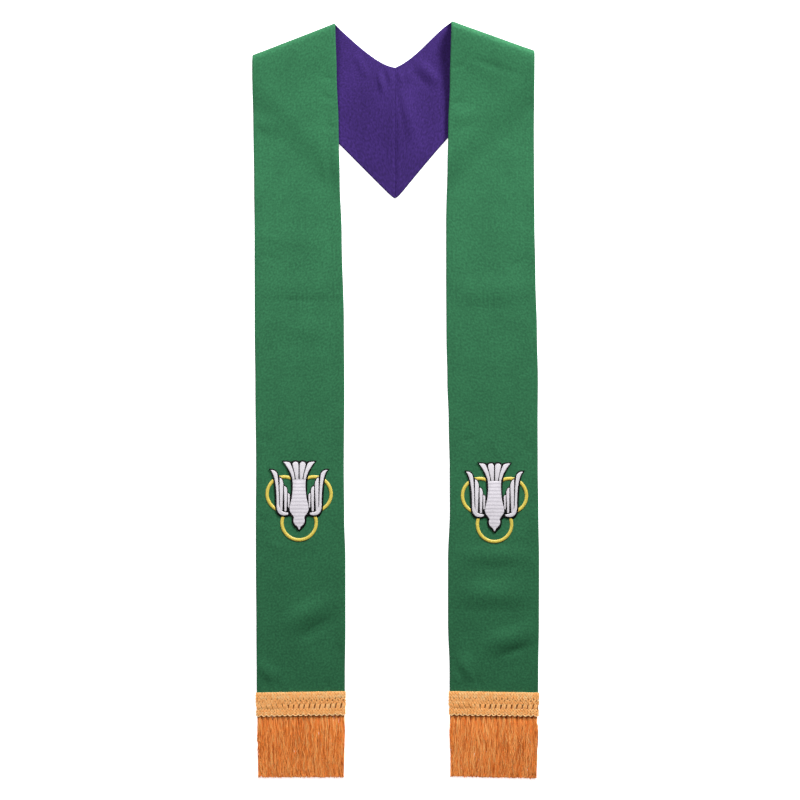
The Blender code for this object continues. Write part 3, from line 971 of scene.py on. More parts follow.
@dataclass
class Braid:
    """Gimp braid with a picot edge, a row of eyelets, a ladder of slots and a scalloped foot."""

    shape: HalfShape
    closed_share: tuple[float, float]
    top: float = -420.5
    overhang: float = 1.5
    depth: float = 34.0
    pull: float = 1.2
    wander: float = 0.35
    repeats: int = 17
    back: float = FACE_TOP + SEAM_GAP
    picot: float = 1.5
    gimp_rows: tuple[Wrap, ...] = (Wrap(0.8, 4.9, 2.1, 0.75, 1.15), Wrap(4.9, 9.4, 2.1, 0.75, 1.15))
    eyelet_rows: tuple[float, float] = (9.0, 14.0)
    eyelet_spreads: tuple[float, ...] = (0.0, 0.14, 0.26)
    tape_row: Wrap = Wrap(13.6, 17.4, 1.9, 0.6, 1.0)
    ladder_rows: tuple[float, float] = (17.0, 24.6)
    ladder_strands: int = 4
    foot_rows: tuple[Wrap, ...] = (Wrap(24.6, 28.5, 2.1, 0.7, 1.05), Wrap(28.5, 32.2, 2.1, 0.7, 1.05))
    foot: float = 33.2
    scallop: float = 2.6
    tape_ends: tuple[float, float] = (1.2, 32.2)
    tape_inset: float = 0.006
    tape_height: float = 0.35

    def place(self, share: float, down: float, height: float) -> Point3:
        """A point of the braid, by its share along it, its distance down it and its height on its back.

        Args:
            share: The share of the braid's length, from the strip's inner edge.
            down: The distance below its top edge.
            height: The height on its back.

        Returns:
            The point on the table, in millimetres.
        """
        inner = self.shape.edge(self.shape.hem, "inner") - self.overhang
        outer = self.shape.edge(self.shape.hem, "outer") + self.overhang
        # The tape pulls in a little as it goes down, and its lines wander
        across = lerp(inner, outer, min(max(share, 0.0), 1.0)) + self.pull * down / self.depth * (0.5 - share)
        wander = self.wander * noise.noise(Vector((across / 9.0, down / 14.0, self.shape.seed)))
        along = self.top - down - self.shape.hem_skew * share + wander
        return self.shape.sign * across, along, self.back + height

    def open_by(self, share: float) -> float:
        """How far the braid's holes stand open here, from 0 where it is turned under to 1."""
        low, high = self.closed_share
        return smooth(max(low - share, share - high) / 0.1 + 0.5)

    def cord(self, down: float, height: float, radius: float, shade: float, wave: float = 0.0) -> Thread:
        """A cord that runs the braid's whole length, straight or in scallops.

        Args:
            down: The distance below the braid's top edge.
            height: The height on its back.
            radius: The cord's radius.
            shade: Its shade, from 0 to 1.
            wave: How deep its scallops are, or 0 where it is straight.

        Returns:
            The cord.
        """
        steps = self.repeats * (10 if wave else 4)
        points = []
        for step in range(steps + 1):
            share = step / steps
            dip = wave * abs(math.sin(math.pi * share * self.repeats))
            points.append(self.place(share, down - wave / 2 + dip, height))
        return Thread(points, radius, shade)

    def wrapping(self, wrap: Wrap, rng: random.Random) -> list[Thread]:
        """The threads of one wrapped row.

        Args:
            wrap: The row.
            rng: The source of its small accidents.

        Returns:
            The threads.
        """
        width = abs(self.place(1.0, 0.0, 0.0)[0] - self.place(0.0, 0.0, 0.0)[0])
        count = round(width / wrap.pitch)
        threads = []
        for number in range(count):
            lean = 0.7 if number % 2 else -0.25
            top, foot = wrap.top - rng.uniform(0.0, 0.9), wrap.foot + rng.uniform(0.0, 0.9)
            points = []
            for part in QUARTERS:
                share = (number + 0.5 + lean * (part - 0.5)) / count
                crown = wrap.height * math.sin(math.pi * (0.18 + 0.64 * part))
                points.append(self.place(share, lerp(top, foot, part), 0.3 + crown + 0.2 * (number % 2)))
            shade = 0.52 + rng.uniform(-0.16, 0.16)
            threads.append(Thread(points, wrap.radius, shade, end_shade=shade + rng.uniform(-0.12, 0.08)))
        return threads

    def picots(self, rng: random.Random) -> list[Thread]:
        """The fine loops along the top edge.

        Args:
            rng: The source of its small accidents.

        Returns:
            The loops.
        """
        threads = []
        count = self.repeats * 3
        for number in range(count):
            points = []
            for step in range(7):
                turn = math.pi * step / 6
                share = (number + 0.5 - 0.46 * math.cos(turn)) / count
                points.append(self.place(share, self.picot * (1.0 - math.sin(turn)), 0.9))
            threads.append(Thread(points, 0.5, 0.8 + rng.uniform(-0.25, 0.2)))
        return threads

    def eyelets(self, rng: random.Random) -> list[Thread]:
        """Pairs of slanted loops, with a small hole under each pair where the braid lies open.

        Args:
            rng: The source of its small accidents.

        Returns:
            The loops.
        """
        threads = []
        for number in range(self.repeats):
            opened = self.open_by((number + 0.5) / self.repeats - 0.08)
            half_hole, widening = 0.13 * opened, lerp(1.5, 1.0, opened)
            for side in (-1, 1):
                for strand, spread in enumerate(self.eyelet_spreads):
                    points = []
                    for part in QUARTERS:
                        reach = lerp(half_hole * 0.3, half_hole + 0.12, part)
                        reach += spread * widening * lerp(0.7, 1.0, part)
                        share = (number + 0.5 + side * reach) / self.repeats
                        height = 0.8 + 0.5 * math.sin(math.pi * part) - 0.1 * strand
                        points.append(self.place(share, lerp(*self.eyelet_rows, part), height))
                    threads.append(Thread(points, 0.74, 0.66 + rng.uniform(-0.18, 0.18)))
        return threads

    def ladder(self, rng: random.Random) -> list[Thread]:
        """Bundles of upright threads with a slot between each two, slanted like the strokes of a script.

        Args:
            rng: The source of its small accidents.

        Returns:
            The threads.
        """
        threads = []
        for number in range(self.repeats):
            opened = self.open_by((number + 0.5) / self.repeats)
            slot = lerp(0.1, 0.3, opened) * rng.uniform(0.8, 1.15)
            # The slots lean to the picture's right where they stand open and the other way where they don't
            lean = self.shape.sign * lerp(-0.42, 0.2, opened)
            for strand in range(self.ladder_strands):
                start = number + (1.0 - slot) * (strand + 0.5) / self.ladder_strands
                points = []
                for part in QUARTERS:
                    share = (start + lean * (0.5 - part)) / self.repeats
                    crown = 0.75 + 0.45 * math.sin(math.pi * part)
                    points.append(self.place(share, lerp(*self.ladder_rows, part), crown))
                shade = 0.6 + rng.uniform(-0.14, 0.14)
                # Where the slots stand open, each bundle is painted darker towards its foot: painted shade on
                # its lower end.
                threads.append(Thread(points, 0.84, shade, end_shade=shade - 0.42 * opened))
        return threads

    def backing(self, finish: Material) -> Object:
        """The woven tape under the threads, dark brown as painted shade where the braid's slots and gaps show
        it.

        Args:
            finish: The tape's material.

        Returns:
            The tape.
        """
        bm = bmesh.new()
        bmesh.ops.create_grid(bm, x_segments=64, y_segments=12, size=0.5)
        high, low = self.tape_ends
        for vert in bm.verts:
            share = lerp(self.tape_inset, 1.0 - self.tape_inset, vert.co.x + 0.5)
            place = self.place(share, lerp(low, high, vert.co.y + 0.5), self.tape_height)
            vert.co = Vector(place) * MM
        bmesh.ops.recalc_face_normals(bm, faces=bm.faces)
        if bm.faces[:][0].normal.z < 0:
            bmesh.ops.reverse_faces(bm, faces=bm.faces)
        made = finish_piece(f"{self.shape.side.word}_braid_tape", bm, finish)
        thicken(made, 0.3)
        return made

    def build(self, finish: Material, tape: Material) -> list[Object]:
        """Models the braid's threads and its tape.

        Args:
            finish: The threads' material.
            tape: The tape's.

        Returns:
            The threads and the tape.
        """
        rng = random.Random(self.shape.seed + 11)
        threads = self.picots(rng)
        for wrap in self.gimp_rows:
            threads += self.wrapping(wrap, rng)
        threads += self.eyelets(rng)
        threads += self.wrapping(self.tape_row, rng)
        threads += self.ladder(rng)
        for wrap in self.foot_rows:
            threads += self.wrapping(wrap, rng)
        threads.append(self.cord(self.foot, 1.15, 0.85, 0.8, wave=self.scallop))
        threads.append(self.cord(self.foot - 1.4, 0.95, 0.7, 0.45))
        name = f"{self.shape.side.word}_braid_threads"
        return [thread_piece(name, threads, finish), self.backing(tape)]


@dataclass
class Fringe:
    """Bullion fringe: fine loose strands in small bundles that open out as they hang from the braid."""

    shape: HalfShape
    strands: int = 1350
    repeats: int = 17
    root: float = -451.0
    end: float = -544.6
    steps: int = 14
    radius: float = 0.43
    low: float = 0.5
    root_high: float = 2.5
    high: float = 3.0
    inset: float = 0.9
    overhang: float = 0.8
    drawn_in: float = 2.8
    gathering: float = 0.62
    lock_sway: float = 3.0
    strand_sway: float = 2.4
    short_share: float = 0.1
    painted_highlight_share: float = 0.09

    def build(self, finish: Material) -> Object:
        """Models every strand of one fringe.

        Args:
            finish: The strands' material.

        Returns:
            The finished piece.
        """
        rng = random.Random(self.shape.seed + 29)
        inner = self.shape.edge(self.shape.hem, "inner") + self.inset
        outer = self.shape.edge(self.shape.hem, "outer") - self.inset
        threads = []
        for number in range(self.strands):
            home = (number + rng.random()) / self.strands
            depth = rng.random()
            threads.append(self.strand(home, depth, inner, outer, rng))
        return thread_piece(f"{self.shape.side.word}_fringe_strands", threads, finish)

    def strand(self, home: float, depth: float, inner: float, outer: float, rng: random.Random) -> Thread:
        """One strand, from its bundle under the braid to its cut end.

        Args:
            home: Its place along the fringe, as a share.
            depth: Its layer, from 0 on the table to 1 on top.
            inner: The fringe's inner side, in millimetres across.
            outer: Its outer side.
            rng: The source of its small accidents.

        Returns:
            The strand.
        """
        shape = self.shape
        bundle = (math.floor(home * self.repeats) + 0.5) / self.repeats
        top = smooth((depth - 0.3) / 0.3)
        gathered = lerp(home, bundle, self.gathering * top)
        sway = self.strand_sway * rng.uniform(0.4, 1.0) * (0.6 + 1.5 * top)
        phase = rng.uniform(0.0, 40.0)
        drift = rng.gauss(0.0, 1.8)
        length = self.end + rng.gauss(0.0, 0.8) - shape.fringe_skew * (home - 0.5)
        if rng.random() < self.short_share:
            length += rng.uniform(1.0, 8.0)
        points = []
        for step in range(self.steps + 1):
            t = step / self.steps
            along = lerp(self.root, length, t) - shape.hem_skew * home * (1.0 - t)
            across = lerp(inner, outer, lerp(gathered, home, smooth(t * 3.2)))
            lock = noise.noise(Vector((across / 8.0, along / 24.0, shape.seed * 3.1)))
            side = noise.noise(Vector((phase, along / 8.5, home * 90.0)))
            across += shape.fringe_lean * t * t + self.lock_sway * lock * smooth(t * 2.0)
            across += (sway * side + drift * t) * smooth(t * 2.5)
            # The fringe is drawn in towards its cut end, and few strands stray past its sides
            margin = self.overhang - self.drawn_in * smooth(t * 1.3 - 0.3)
            kept = min(max(across, inner - margin), outer + margin)
            across = kept + 0.2 * (across - kept)
            rise = 0.75 * noise.noise(Vector((across / 4.0, along / 11.0, phase)))
            swell = lerp(0.25, 1.0, smooth(2.2 * t))
            height = lerp(self.low, lerp(self.root_high, self.high, swell), depth) + rise
            points.append((shape.sign * across, along, max(self.low, height)))
        # Over a random tone, the top strands are painted lighter than those beneath them: painted shade on
        # the lower layers.
        shade = 0.47 + 0.1 * rng.gauss(0.0, 0.8) + 0.12 * top
        # A few strands are painted much lighter: painted highlights on the shiny rayon.
        if rng.random() < self.painted_highlight_share:
            shade += 0.4
        # Each strand is painted darker at its root, the lower strands most: painted shade under the braid's
        # foot. It grows lighter towards its cut end.
        painted_root_shade = max(0.0, shade - lerp(0.6, 0.34, top))
        return Thread(points, self.radius * rng.uniform(0.8, 1.25), painted_root_shade, 0.8, min(1.0, shade + 0.26))


@dataclass(frozen=True)
class WingBar:
    """An upright wing feather, whose tip slants up from its inner side to its outer one."""

    inner: float
    outer: float
    shoulder: float
    top: float
    foot: float


@dataclass
class Emblem:
    """Machine embroidery: a dove flying down, white with a black border, over three gold rings."""

    shape: HalfShape
    ring_radius: float = 24.8
    ring_band: float = 4.9
    ring_height: float = 0.95
    ring_steps: int = 300
    ring_lap: float = 0.06
    stitch_ridge: float = 0.1
    ring_centres: tuple[Point2, ...] = ((-21.6, 4.3), (21.6, 4.3), (0.0, -37.4))
    base: float = FACE_TOP + 0.12
    border: float = 2.0
    wing_bars: tuple[WingBar, ...] = (
        WingBar(13.4, 16.3, 2.0, 5.4, -15.5),
        WingBar(17.1, 21.5, 9.5, 15.6, -21.0),
        WingBar(22.8, 28.2, 18.5, 27.8, -20.4),
    )
    border_foot: float = 0.75
    border_height: float = 0.55
    feather_foot: float = 1.25
    rim_steps: tuple[tuple[float, float], ...] = ((0.35, 0.34), (0.3, 0.18), (0.35, 0.08))

    def centre(self) -> Point2:
        """The emblem's middle on the table, in millimetres."""
        return self.shape.sign * self.shape.emblem[0], self.shape.emblem[1]

    def dove_half(self) -> list[Point2]:
        """The right half of the dove's border, from the middle of its tail to its beak.

        Returns:
            The outline round the emblem's centre, in millimetres.
        """
        points = curved(
            [(0.0, 51.6)],
            (8, (1.5, 53.8), (8.5, 54.0), (10.8, 51.0)),
            (7, (14.0, 52.8), (20.0, 53.2), (25.4, 52.6)),
            (9, (20.0, 45.5), (13.4, 35.0), (12.0, 23.0)),
            (3, (11.4, 17.0), (11.3, 11.0), (11.9, 4.6)),
        )
        for bar in self.wing_bars:
            near = lerp(bar.inner, bar.outer, 0.25) - 0.4 * self.border
            points += [
                (bar.inner - 0.5 * self.border, bar.shoulder),
                (near, lerp(bar.shoulder, bar.top, 0.62) + 0.45 * self.border),
                (lerp(bar.inner, bar.outer, 0.72), bar.top + 0.95 * self.border),
                (bar.outer + 0.1 * self.border, bar.top + 0.9 * self.border),
            ]
        curved(
            points,
            (6, (29.6, 31.0), (30.3, 36.5), (34.0, 39.4)),
            (4, (36.8, 41.2), (40.5, 41.4), (44.3, 40.8)),
            (8, (39.6, 36.6), (37.4, 27.0), (36.4, 16.0)),
            (3, (35.4, 5.0), (35.0, -6.0), (34.9, -13.0)),
            (8, (34.4, -23.5), (30.5, -28.9), (23.0, -28.9)),
            (3, (19.0, -28.9), (16.0, -27.8), (13.8, -26.8)),
            (3, (11.5, -28.4), (10.3, -29.3), (10.3, -31.0)),
            (7, (11.6, -37.0), (9.0, -42.5), (4.2, -45.6)),
        )
        return [*points, (2.6, -48.2), (0.0, -49.4)]

    def body(self) -> list[Point2]:
        """The right half of the white body, head and beak, from the root of the tail down.

        Returns:
            The outline round the emblem's centre, in millimetres.
        """
        points = curved(
            [(0.0, 25.4), (9.6, 25.2)],
            (6, (9.0, 18.0), (9.2, 10.0), (10.2, 2.0)),
            (6, (11.2, -6.0), (13.6, -11.0), (13.9, -17.0)),
            (7, (14.2, -22.5), (8.2, -27.0), (7.4, -30.0)),
            (8, (9.2, -34.0), (8.4, -39.0), (3.6, -42.2)),
            (3, (2.2, -43.4), (1.5, -44.6), (1.2, -46.0)),
        )
        return [*points, (0.7, -47.0), (0.0, -47.3)]

    def tail_lobe(self) -> list[Point2]:
        """One of the tail's two middle feathers, with a round end.

        Returns:
            The outline round the emblem's centre, in millimetres.
        """
        return curved(
            [(0.75, 25.0), (0.75, 36.0), (0.85, 47.0)],
            (8, (1.2, 52.2), (9.0, 52.2), (9.5, 47.4)),
            (5, (8.4, 40.0), (5.6, 33.0), (4.8, 25.0)),
        )

    def tail_flare(self) -> list[Point2]:
        """One of the tail's two outer feathers, which curve out to a blunt corner.

        Returns:
            The outline round the emblem's centre, in millimetres.
        """
        return curved(
            [(6.2, 25.0)],
            (6, (6.6, 33.0), (9.4, 41.0), (12.2, 47.6)),
            (6, (13.4, 50.8), (18.0, 51.2), (22.6, 50.8)),
            (8, (16.8, 43.0), (11.2, 34.5), (9.6, 25.0)),
        )

    def bar_outline(self, bar: WingBar) -> list[Point2]:
        """The outline of an upright feather.

        Args:
            bar: The feather.

        Returns:
            The outline round the emblem's centre, in millimetres.
        """

        def across(share: float) -> float:
            """How far across a share of the feather's width lies."""
            return lerp(bar.inner, bar.outer, share)

        rising = (across(0.1), lerp(bar.shoulder, bar.top, 0.6))
        tip = (8, rising, (across(0.55), bar.top), (bar.outer, bar.top))
        points = [*curved([(bar.inner, bar.shoulder)], tip), (across(0.95), bar.foot + 1.2)]
        low = bar.foot - 0.6
        return curved(points, (6, (across(0.8), low), (across(0.4), low), (across(0.25), bar.foot + 1.2)))

    def quill_outline(self) -> list[Point2]:
        """The long outer feather, from its curled foot up its inner side, over its tip and back.

        Returns:
            The outline round the emblem's centre, in millimetres.
        """
        return curved(
            [(16.2, -22.7)],
            (9, (22.0, -22.0), (28.6, -21.5), (29.1, -9.0)),
            (8, (29.4, 4.0), (29.6, 18.0), (31.2, 31.0)),
            (8, (31.6, 36.0), (36.0, 39.6), (41.2, 38.9)),
            (8, (36.6, 34.0), (34.2, 22.0), (33.2, 10.0)),
            (5, (32.6, 0.0), (32.5, -6.0), (32.6, -12.0)),
            (9, (32.6, -22.0), (28.4, -26.9), (21.6, -26.7)),
            (4, (18.6, -26.6), (16.0, -25.9), (15.4, -24.9)),
        )

    def patch(
        self, bm: BMesh, outline: list[Point2], low: float, height: float, stitch_turn: float, soft: float
    ) -> None:
        """Adds one padded satin-stitched shape to a mesh.

        Args:
            bm: The mesh to add it to.
            outline: Its outline round the emblem's centre, in millimetres.
            low: The height of its foot on the table.
            height: How far it stands up.
            stitch_turn: The way from thread to thread, in degrees.
            soft: The width of its rounded rim.
        """
        middle = self.centre()
        uv = bm.loops.layers.uv.get("UVMap") or bm.loops.layers.uv.new("UVMap")
        verts = [bm.verts.new(((middle[0] + x) * MM, (middle[1] + y) * MM, low * MM)) for x, y in outline]
        base = bm.faces.new(verts)
        base.normal_update()
        if base.normal.z < 0:
            base.normal_flip()
        walls = bmesh.ops.extrude_face_region(bm, geom=[base], use_keep_orig=True)["geom"]
        top = next(item for item in walls if isinstance(item, bmesh.types.BMFace))
        base.normal_flip()
        for vert in top.verts:
            vert.co.z += 0.4 * height * MM
        faces = [top]
        for inset, lift in self.rim_steps:
            bmesh.ops.inset_region(
                bm, faces=faces, thickness=inset * soft * MM, depth=lift * height * MM, use_even_offset=False
            )
        turn = math.radians(stitch_turn)
        around = {face for vert in top.verts for face in vert.link_faces} | {top, base}
        pending, done = list(around), set()
        while pending:
            face = pending.pop()
            if face in done:
                continue
            done.add(face)
            pending += [other for edge in face.edges for other in edge.link_faces]
        for face in done:
            face.smooth = face is not base
            for loop in face.loops:
                x, y = loop.vert.co.x, loop.vert.co.y
                loop[uv].uv = (
                    x * math.cos(turn) + y * math.sin(turn),
                    y * math.cos(turn) - x * math.sin(turn),
                )

    def build_dove(self, white: Material, fill: Material, black: Material) -> list[Object]:
        """Models the black ground that shows as the border, the white feathers and the body.

        Args:
            white: The feathers' satin stitch.
            fill: The body's fill stitch.
            black: The border's stitch.

        Returns:
            The border, the feathers and the body.
        """

        def mirrored(outline: list[Point2], side: int) -> list[Point2]:
            """The outline, turned over where the side is -1."""
            return [(x * side, y) for x, y in outline]

        def whole(half: list[Point2]) -> list[Point2]:
            """The full outline that a right half belongs to."""
            return half + mirrored(half[-2:0:-1], -1)

        word = self.shape.side.word
        low = self.base + self.feather_foot
        ground, feathers, trunk = bmesh.new(), bmesh.new(), bmesh.new()
        foot = self.base + self.border_foot
        self.patch(ground, whole(self.dove_half()), foot, self.border_height, 20.0, 0.6)
        self.patch(trunk, whole(self.body()), low, 0.62, 90.0, 1.0)
        for side in (-1, 1):
            self.patch(feathers, mirrored(self.tail_lobe(), side), low, 0.6, 90.0, 0.7)
            self.patch(feathers, mirrored(self.tail_flare(), side), low, 0.6, 90.0 - 24.0 * side, 0.7)
            for bar in self.wing_bars:
                self.patch(feathers, mirrored(self.bar_outline(bar), side), low, 0.55, 84.0, 0.6)
            self.patch(feathers, mirrored(self.quill_outline(), side), low, 0.62, 78.0 * side, 0.8)
        return [
            finish_piece(f"{word}_dove_border", ground, black),
            finish_piece(f"{word}_dove_feathers", feathers, white),
            finish_piece(f"{word}_dove_body", trunk, fill),
        ]

    def build_rings(self, gold: Material) -> Object:
        """Models the three rings as padded satin bands with a rib for every stitch.

        Args:
            gold: The rings' satin stitch.

        Returns:
            The finished piece.
        """
        whole = bmesh.new()
        uv = whole.loops.layers.uv.new("UVMap")
        for number, centre in enumerate(self.ring_centres):
            self.ring(whole, uv, centre, self.ring_lap * number)
        for face in whole.faces:
            face.smooth = True
        return finish_piece(f"{self.shape.side.word}_ring_embroidery", whole, gold)

    def ring(self, whole: BMesh, uv: bmesh.types.BMLayerItem, centre: Point2, shift: float) -> None:
        """Adds one ring, spun from a low half-round profile.

        Args:
            whole: The mesh to add it to.
            uv: The mesh's UV map.
            centre: The ring's middle, from the emblem's.
            shift: How much higher it lies than the first ring.
        """
        middle = self.centre()
        profile = []
        for step in range(7):
            turn = math.pi * step / 6
            reach = self.ring_radius + self.ring_band / 2 * math.cos(turn)
            profile.append((reach, self.ring_height * math.sin(turn)))
        verts = [whole.verts.new((x * MM, 0.0, (self.base + shift + z) * MM)) for x, z in profile]
        edges = [whole.edges.new(pair) for pair in zip(verts, verts[1:])]
        edges.append(whole.edges.new((verts[-1], verts[0])))
        bmesh.ops.spin(
            whole,
            geom=verts + edges,
            cent=(0, 0, 0),
            axis=(0, 0, 1),
            angle=2 * math.pi,
            steps=self.ring_steps,
            use_merge=True,
        )
        fresh = [v for v in whole.verts if math.hypot(v.co.x, v.co.y) < 1.3 * self.ring_radius * MM]
        for vert in fresh:
            angle = math.atan2(vert.co.y, vert.co.x)
            stitch = round(angle / (2 * math.pi) * self.ring_steps) % 2
            level = vert.co.z / MM - self.base - shift
            if level > 0.05:
                vert.co.z += self.stitch_ridge * stitch * MM
        for face in {face for vert in fresh for face in vert.link_faces}:
            middle_turn = math.atan2(face.calc_center_median().y, face.calc_center_median().x)
            for loop in face.loops:
                spot = loop.vert.co
                turn = math.atan2(spot.y, spot.x)
                turn -= 2 * math.pi * round((turn - middle_turn) / (2 * math.pi))
                loop[uv].uv = (turn * self.ring_radius * MM, math.hypot(spot.x, spot.y))
        bmesh.ops.translate(
            whole, verts=fresh, vec=((middle[0] + centre[0]) * MM, (middle[1] + centre[1]) * MM, 0.0)
        )
        bmesh.ops.recalc_face_normals(whole, faces=whole.faces)


LEFT_HALF = HalfShape(
    side=Side.LEFT,
    edges=edge_places(
        (-470, 73.5, 200.8),
        (-400, 73.3, 201.4),
        (-330, 72.5, 201.8),
        (-230, 72.5, 202.5),
        (-170, 74.2, 202.6),
        (-100, 74.8, 202.2),
        (20, 74.0, 203.3),
        (110, 74.6, 204.2),
        (240, 77.8, 204.4),
        (320, 80.6, 205.2),
        (400, 82.5, 206.2),
        (470, 85.0, 207.2),
        (560, 87.3, 206.6),
    ),
    fold_outer=499.0,
    fold_inner=545.2,
    loft_outer=7.4,
    loft_inner=8.6,
    neck_out=(54.0, 514.0),
    neck_in=(22.0, 484.5),
    tip_sag=0.0,
    front_folds=creases(
        (138, 233, 3, 66, 24, 0.8),
        (138, 166, -4, 72, 28, 1.2),
        (134, 104, 5, 66, 26, 1.0),
        (190, 400, 8, 34, 20, 1.6),
        (124, -306, -32, 62, 24, 3.4),
        (186, -392, 48, 26, 16, 1.6),
    ),
    yoke_folds=creases(
        (0, 428, 90, 112, 85, 7.6),
        (49, 486, 64, 26, 9, 1.8),
        (20, 459, 80, 24, 7, 1.9),
        (8, 470, 86, 16, 6, 1.5),
    ),
    front_dents=creases(
        (99, 467, 20, 16, 7, -0.8),
        (96, 438, 15, 16, 7, -0.8),
        (94, 397, 10, 18, 9, -0.8),
        (93, 338, 86, 38, 7, -0.7),
        (104, 338, 86, 36, 7, 0.6),
        (194, 390, 60, 22, 10, -0.7),
        (182, 207, 20, 24, 10, -0.6),
        (95, 240, 88, 32, 7, -0.6),
        (179, 236, 10, 24, 9, 0.6),
        (137, 146, 0, 62, 9, -0.6),
        (82, 154, 0, 9, 6, 0.7),
        (182, 74, 80, 18, 8, -0.6),
        (190, -57, 30, 16, 9, -0.6),
        (137, -107, 0, 60, 9, -0.5),
        (194, -172, 40, 18, 9, -0.6),
        (175, -209, 30, 22, 10, 0.6),
        (114, -331, -30, 46, 13, -1.4),
        (82, -361, 90, 16, 6, -0.8),
        (187, -409, 100, 15, 5, -1.1),
        (171, -410, 84, 14, 4, -0.9),
        (152, -412, 95, 12, 4, -0.8),
        (98, -412, 80, 12, 4, -0.8),
    ),
    yoke_dents=creases(
        (0, 400, 90, 160, 4.4, -1.6),
        (48, 485, 72, 16, 6, -0.8),
        (49, 428, 88, 28, 8, -0.6),
        (22, 461, 73, 22, 6, 0.7),
        (16, 473, 88, 14, 4, -0.6),
    ),
    emblem=(139.7, -139.0),
    fringe_lean=-0.8,
    fringe_skew=0.0,
    seed=3,
)

RIGHT_HALF = HalfShape(
    side=Side.RIGHT,
    edges=edge_places(
        (-470, 78.3, 206.4),
        (-390, 78.3, 207.0),
        (-320, 76.0, 208.0),
        (-230, 76.0, 208.2),
        (-160, 78.6, 207.2),
        (-100, 78.4, 206.4),
        (-30, 77.0, 206.2),
        (30, 75.0, 206.6),
        (100, 73.6, 205.2),
        (180, 73.2, 203.0),
        (260, 73.2, 201.6),
        (340, 75.0, 201.0),
        (400, 76.3, 200.8),
        (460, 78.5, 201.0),
        (560, 80.8, 201.0),
    ),
    fold_outer=505.5,
    fold_inner=548.0,
    loft_outer=8.0,
    loft_inner=11.5,
    stack_inner=8.6,
    neck_out=(62.0, 541.0),
    neck_in=(32.0, 497.0),
    tip_sag=0.00105,
    front_folds=creases(
        (140, 161, 3, 74, 30, 1.9),
        (98, 412, 12, 30, 18, 1.8),
        (142, -224, -2, 70, 20, 2.0),
        (142, -280, 2, 74, 27, 3.0),
        (166, -344, 20, 54, 23, 3.2),
        (103, -384, -66, 28, 16, 2.4),
    ),
    yoke_folds=creases(
        (-8, 428, 90, 112, 60, 8.0),
        (47, 476, -47, 30, 13, 3.0),
        (20, 408, -80, 50, 13, 2.6),
        (8, 468, 88, 16, 6, 1.6),
        (18, 471, 84, 16, 6, 1.6),
    ),
    front_dents=creases(
        (140, 484, -19, 60, 9, -0.7),
        (90, 483, 20, 14, 6, -0.8),
        (90, 432, 20, 16, 7, -0.8),
        (195, 425, 70, 20, 9, -0.7),
        (180, 201, 30, 20, 9, -0.7),
        (104, -57, 20, 16, 9, -0.7),
        (195, -71, 60, 16, 9, -0.7),
        (136, -72, 78, 14, 5, -0.6),
        (147, -71, 104, 14, 5, 0.6),
        (174, -362, 19, 28, 10, -0.9),
        (109, -386, -54, 31, 8, -0.9),
        (89, -402, -60, 18, 8, 0.7),
        (121, -409, 100, 15, 5, -1.1),
        (111, -411, 84, 13, 4, -0.9),
        (96, -411, 68, 13, 4, -0.9),
    ),
    yoke_dents=creases(
        (0, 400, 90, 160, 4.4, -1.6),
        (5, 430, -82, 38, 6, -0.7),
        (36, 465, -48, 26, 7, -0.8),
    ),
    emblem=(143.4, -141.5),
    fringe_lean=-2.8,
    fringe_skew=3.0,
    seed=5,
)


@dataclass(frozen=True)
class Lamp:
    """A square soft lamp."""

    name: str
    place: Point3
    size: float
    power: float


@dataclass
class Studio:
    """A plain pale table, soft light from the photograph's top, and a camera straight above."""

    camera_x: float = 0.0065
    camera_y: float = 0.0015
    camera_height: float = 3.6
    field: float = 1.16
    table_half: float = 4.0
    table_top: float = -0.0004
    lamps: tuple[Lamp, ...] = (
        Lamp("window", (1.0, 2.1, 1.1), 0.6, 117.0),
        Lamp("softbox", (-0.6, 0.7, 1.2), 0.8, 14.7),
    )
    lit_spot: Point3 = (0.0, 0.25, 0.0)

    def build(self) -> None:
        """Makes the table, the lights, the world and the camera."""
        scene = bpy.context.scene
        scene.view_settings.view_transform = "Standard"
        bm = bmesh.new()
        bmesh.ops.create_grid(bm, x_segments=2, y_segments=2, size=self.table_half)
        mesh = bpy.data.meshes.new("table")
        bm.to_mesh(mesh)
        bm.free()
        paper, shader = new_material("white paper", Roughness=0.9)
        shader.inputs["Base Color"].default_value = linear("#F4F4F3")
        shader.inputs["Emission Color"].default_value = linear("#FFFFFF")
        shader.inputs["Emission Strength"].default_value = 0.8
        mesh.materials.append(paper)
        table = bpy.data.objects.new("table", mesh)
        scene.collection.objects.link(table)
        table.location.z = self.table_top
        for lamp in self.lamps:
            self.light(lamp)
        world = bpy.data.worlds.new("studio")
        world.use_nodes = True
        background = world.node_tree.nodes["Background"]
        background.inputs["Color"].default_value = linear("#F3F5F8")
        background.inputs["Strength"].default_value = 0.1
        scene.world = world
        lens = bpy.data.cameras.new("camera")
        lens.lens = lens.sensor_width * self.camera_height / self.field
        camera = bpy.data.objects.new("camera", lens)
        camera.location = (self.camera_x, self.camera_y, self.camera_height)
        scene.collection.objects.link(camera)
        scene.camera = camera

    def light(self, lamp: Lamp) -> None:
        """Adds one lamp, turned to the lit spot.

        Args:
            lamp: The lamp.
        """
        light = bpy.data.lights.new(lamp.name, "AREA")
        light.energy = lamp.power
        light.size = lamp.size
        made = bpy.data.objects.new(lamp.name, light)
        made.location = lamp.place
        made.rotation_euler = (Vector(self.lit_spot) - Vector(lamp.place)).to_track_quat("-Z", "Y").to_euler()
        bpy.context.scene.collection.objects.link(made)


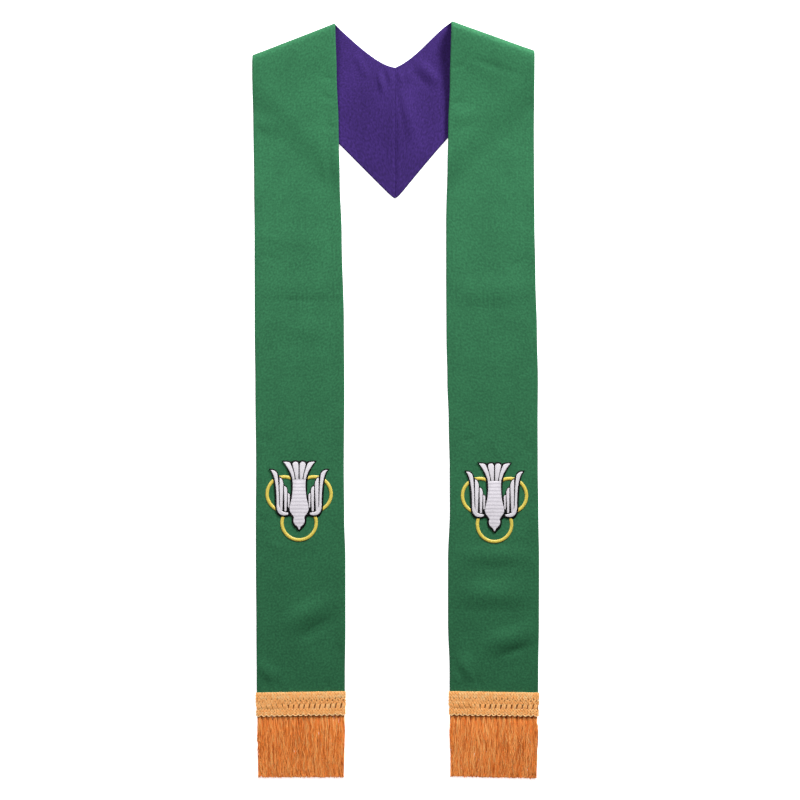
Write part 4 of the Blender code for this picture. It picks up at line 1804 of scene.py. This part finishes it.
@dataclass
class Finishes:
    """The stole's materials, each made once."""

    green: Material
    purple: Material
    braid: Material
    tape: Material
    fringe: Material
    gold: Material
    white: Material
    fill: Material
    black: Material

    @classmethod
    def build(cls) -> "Finishes":
        """Makes every finish from its real cloth or thread.

        Returns:
            The finishes.
        """
        return cls(
            green=Gabardine("green polyester gabardine", "#235639", "#296140", "#2F6C48").build(),
            purple=Gabardine("purple polyester gabardine", "#27154A", "#2F1B58", "#382265").build(),
            braid=TwistedThread("gold rayon gimp", "#DC904A", "#FFBA6E", "#FFE0A6").build(),
            # The tape is dark brown as painted shade in the braid's slots and gaps.
            tape=TwistedThread("dark braid tape with painted shade", "#8E5428", "#A36632", "#B87A44", roughness=0.9).build(),
            fringe=TwistedThread("gold rayon fringe", "#BC5818", "#FF9640", "#FFCC80", roughness=0.4).build(),
            gold=SatinStitch("gold satin stitch", "#AA922A", "#E0CC58").build(),
            white=SatinStitch("white satin stitch", "#BAB5BC", "#DAD6DB").build(),
            fill=SatinStitch("white fill stitch", "#B4AFB7", "#D6D1D8", band_mm=5.2).build(),
            black=SatinStitch(
                "black satin stitch", "#020203", "#060608", roughness=0.6, sheen=0.0, gloss=0.15
            ).build(),
        )


@dataclass
class StoleHalf:
    """One finished half: its cloths, its emblem, its braid and its fringe."""

    shape: HalfShape
    closed_share: tuple[float, float]
    strip_width: float = 0.13
    strip_length: float = 1.235

    def build(self, finishes: Finishes) -> None:
        """Models and dresses every piece of the half.

        Args:
            finishes: The materials.
        """
        word = self.shape.side.word
        cloth = ClothHalf(self.shape, Weave())
        emblem = Emblem(self.shape)
        rings = emblem.build_rings(finishes.gold)
        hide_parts(f"{word}_rings")
        dove = emblem.build_dove(finishes.white, finishes.fill, finishes.black)
        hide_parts(f"{word}_dove")
        braid = Braid(self.shape, self.closed_share).build(finishes.braid, finishes.tape)
        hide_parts(f"{word}_braid")
        fringe = Fringe(self.shape).build(finishes.fringe)
        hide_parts(f"{word}_fringe")
        face = cloth.build(Layer.FACE, finishes.green)
        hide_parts(f"{word}_face")
        lining = cloth.build(Layer.LINING, finishes.purple)
        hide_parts(f"{word}_lining")


def main() -> None:
    """Builds the studio and both halves of the stole."""
    logging.basicConfig(level=logging.INFO, format="%(message)s")
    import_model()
    Studio().build()
    finishes = Finishes.build()
    StoleHalf(LEFT_HALF, closed_share=(0.66, 1.5)).build(finishes)
    StoleHalf(RIGHT_HALF, closed_share=(-0.5, 0.32)).build(finishes)


if __name__ == "__main__":
    main()
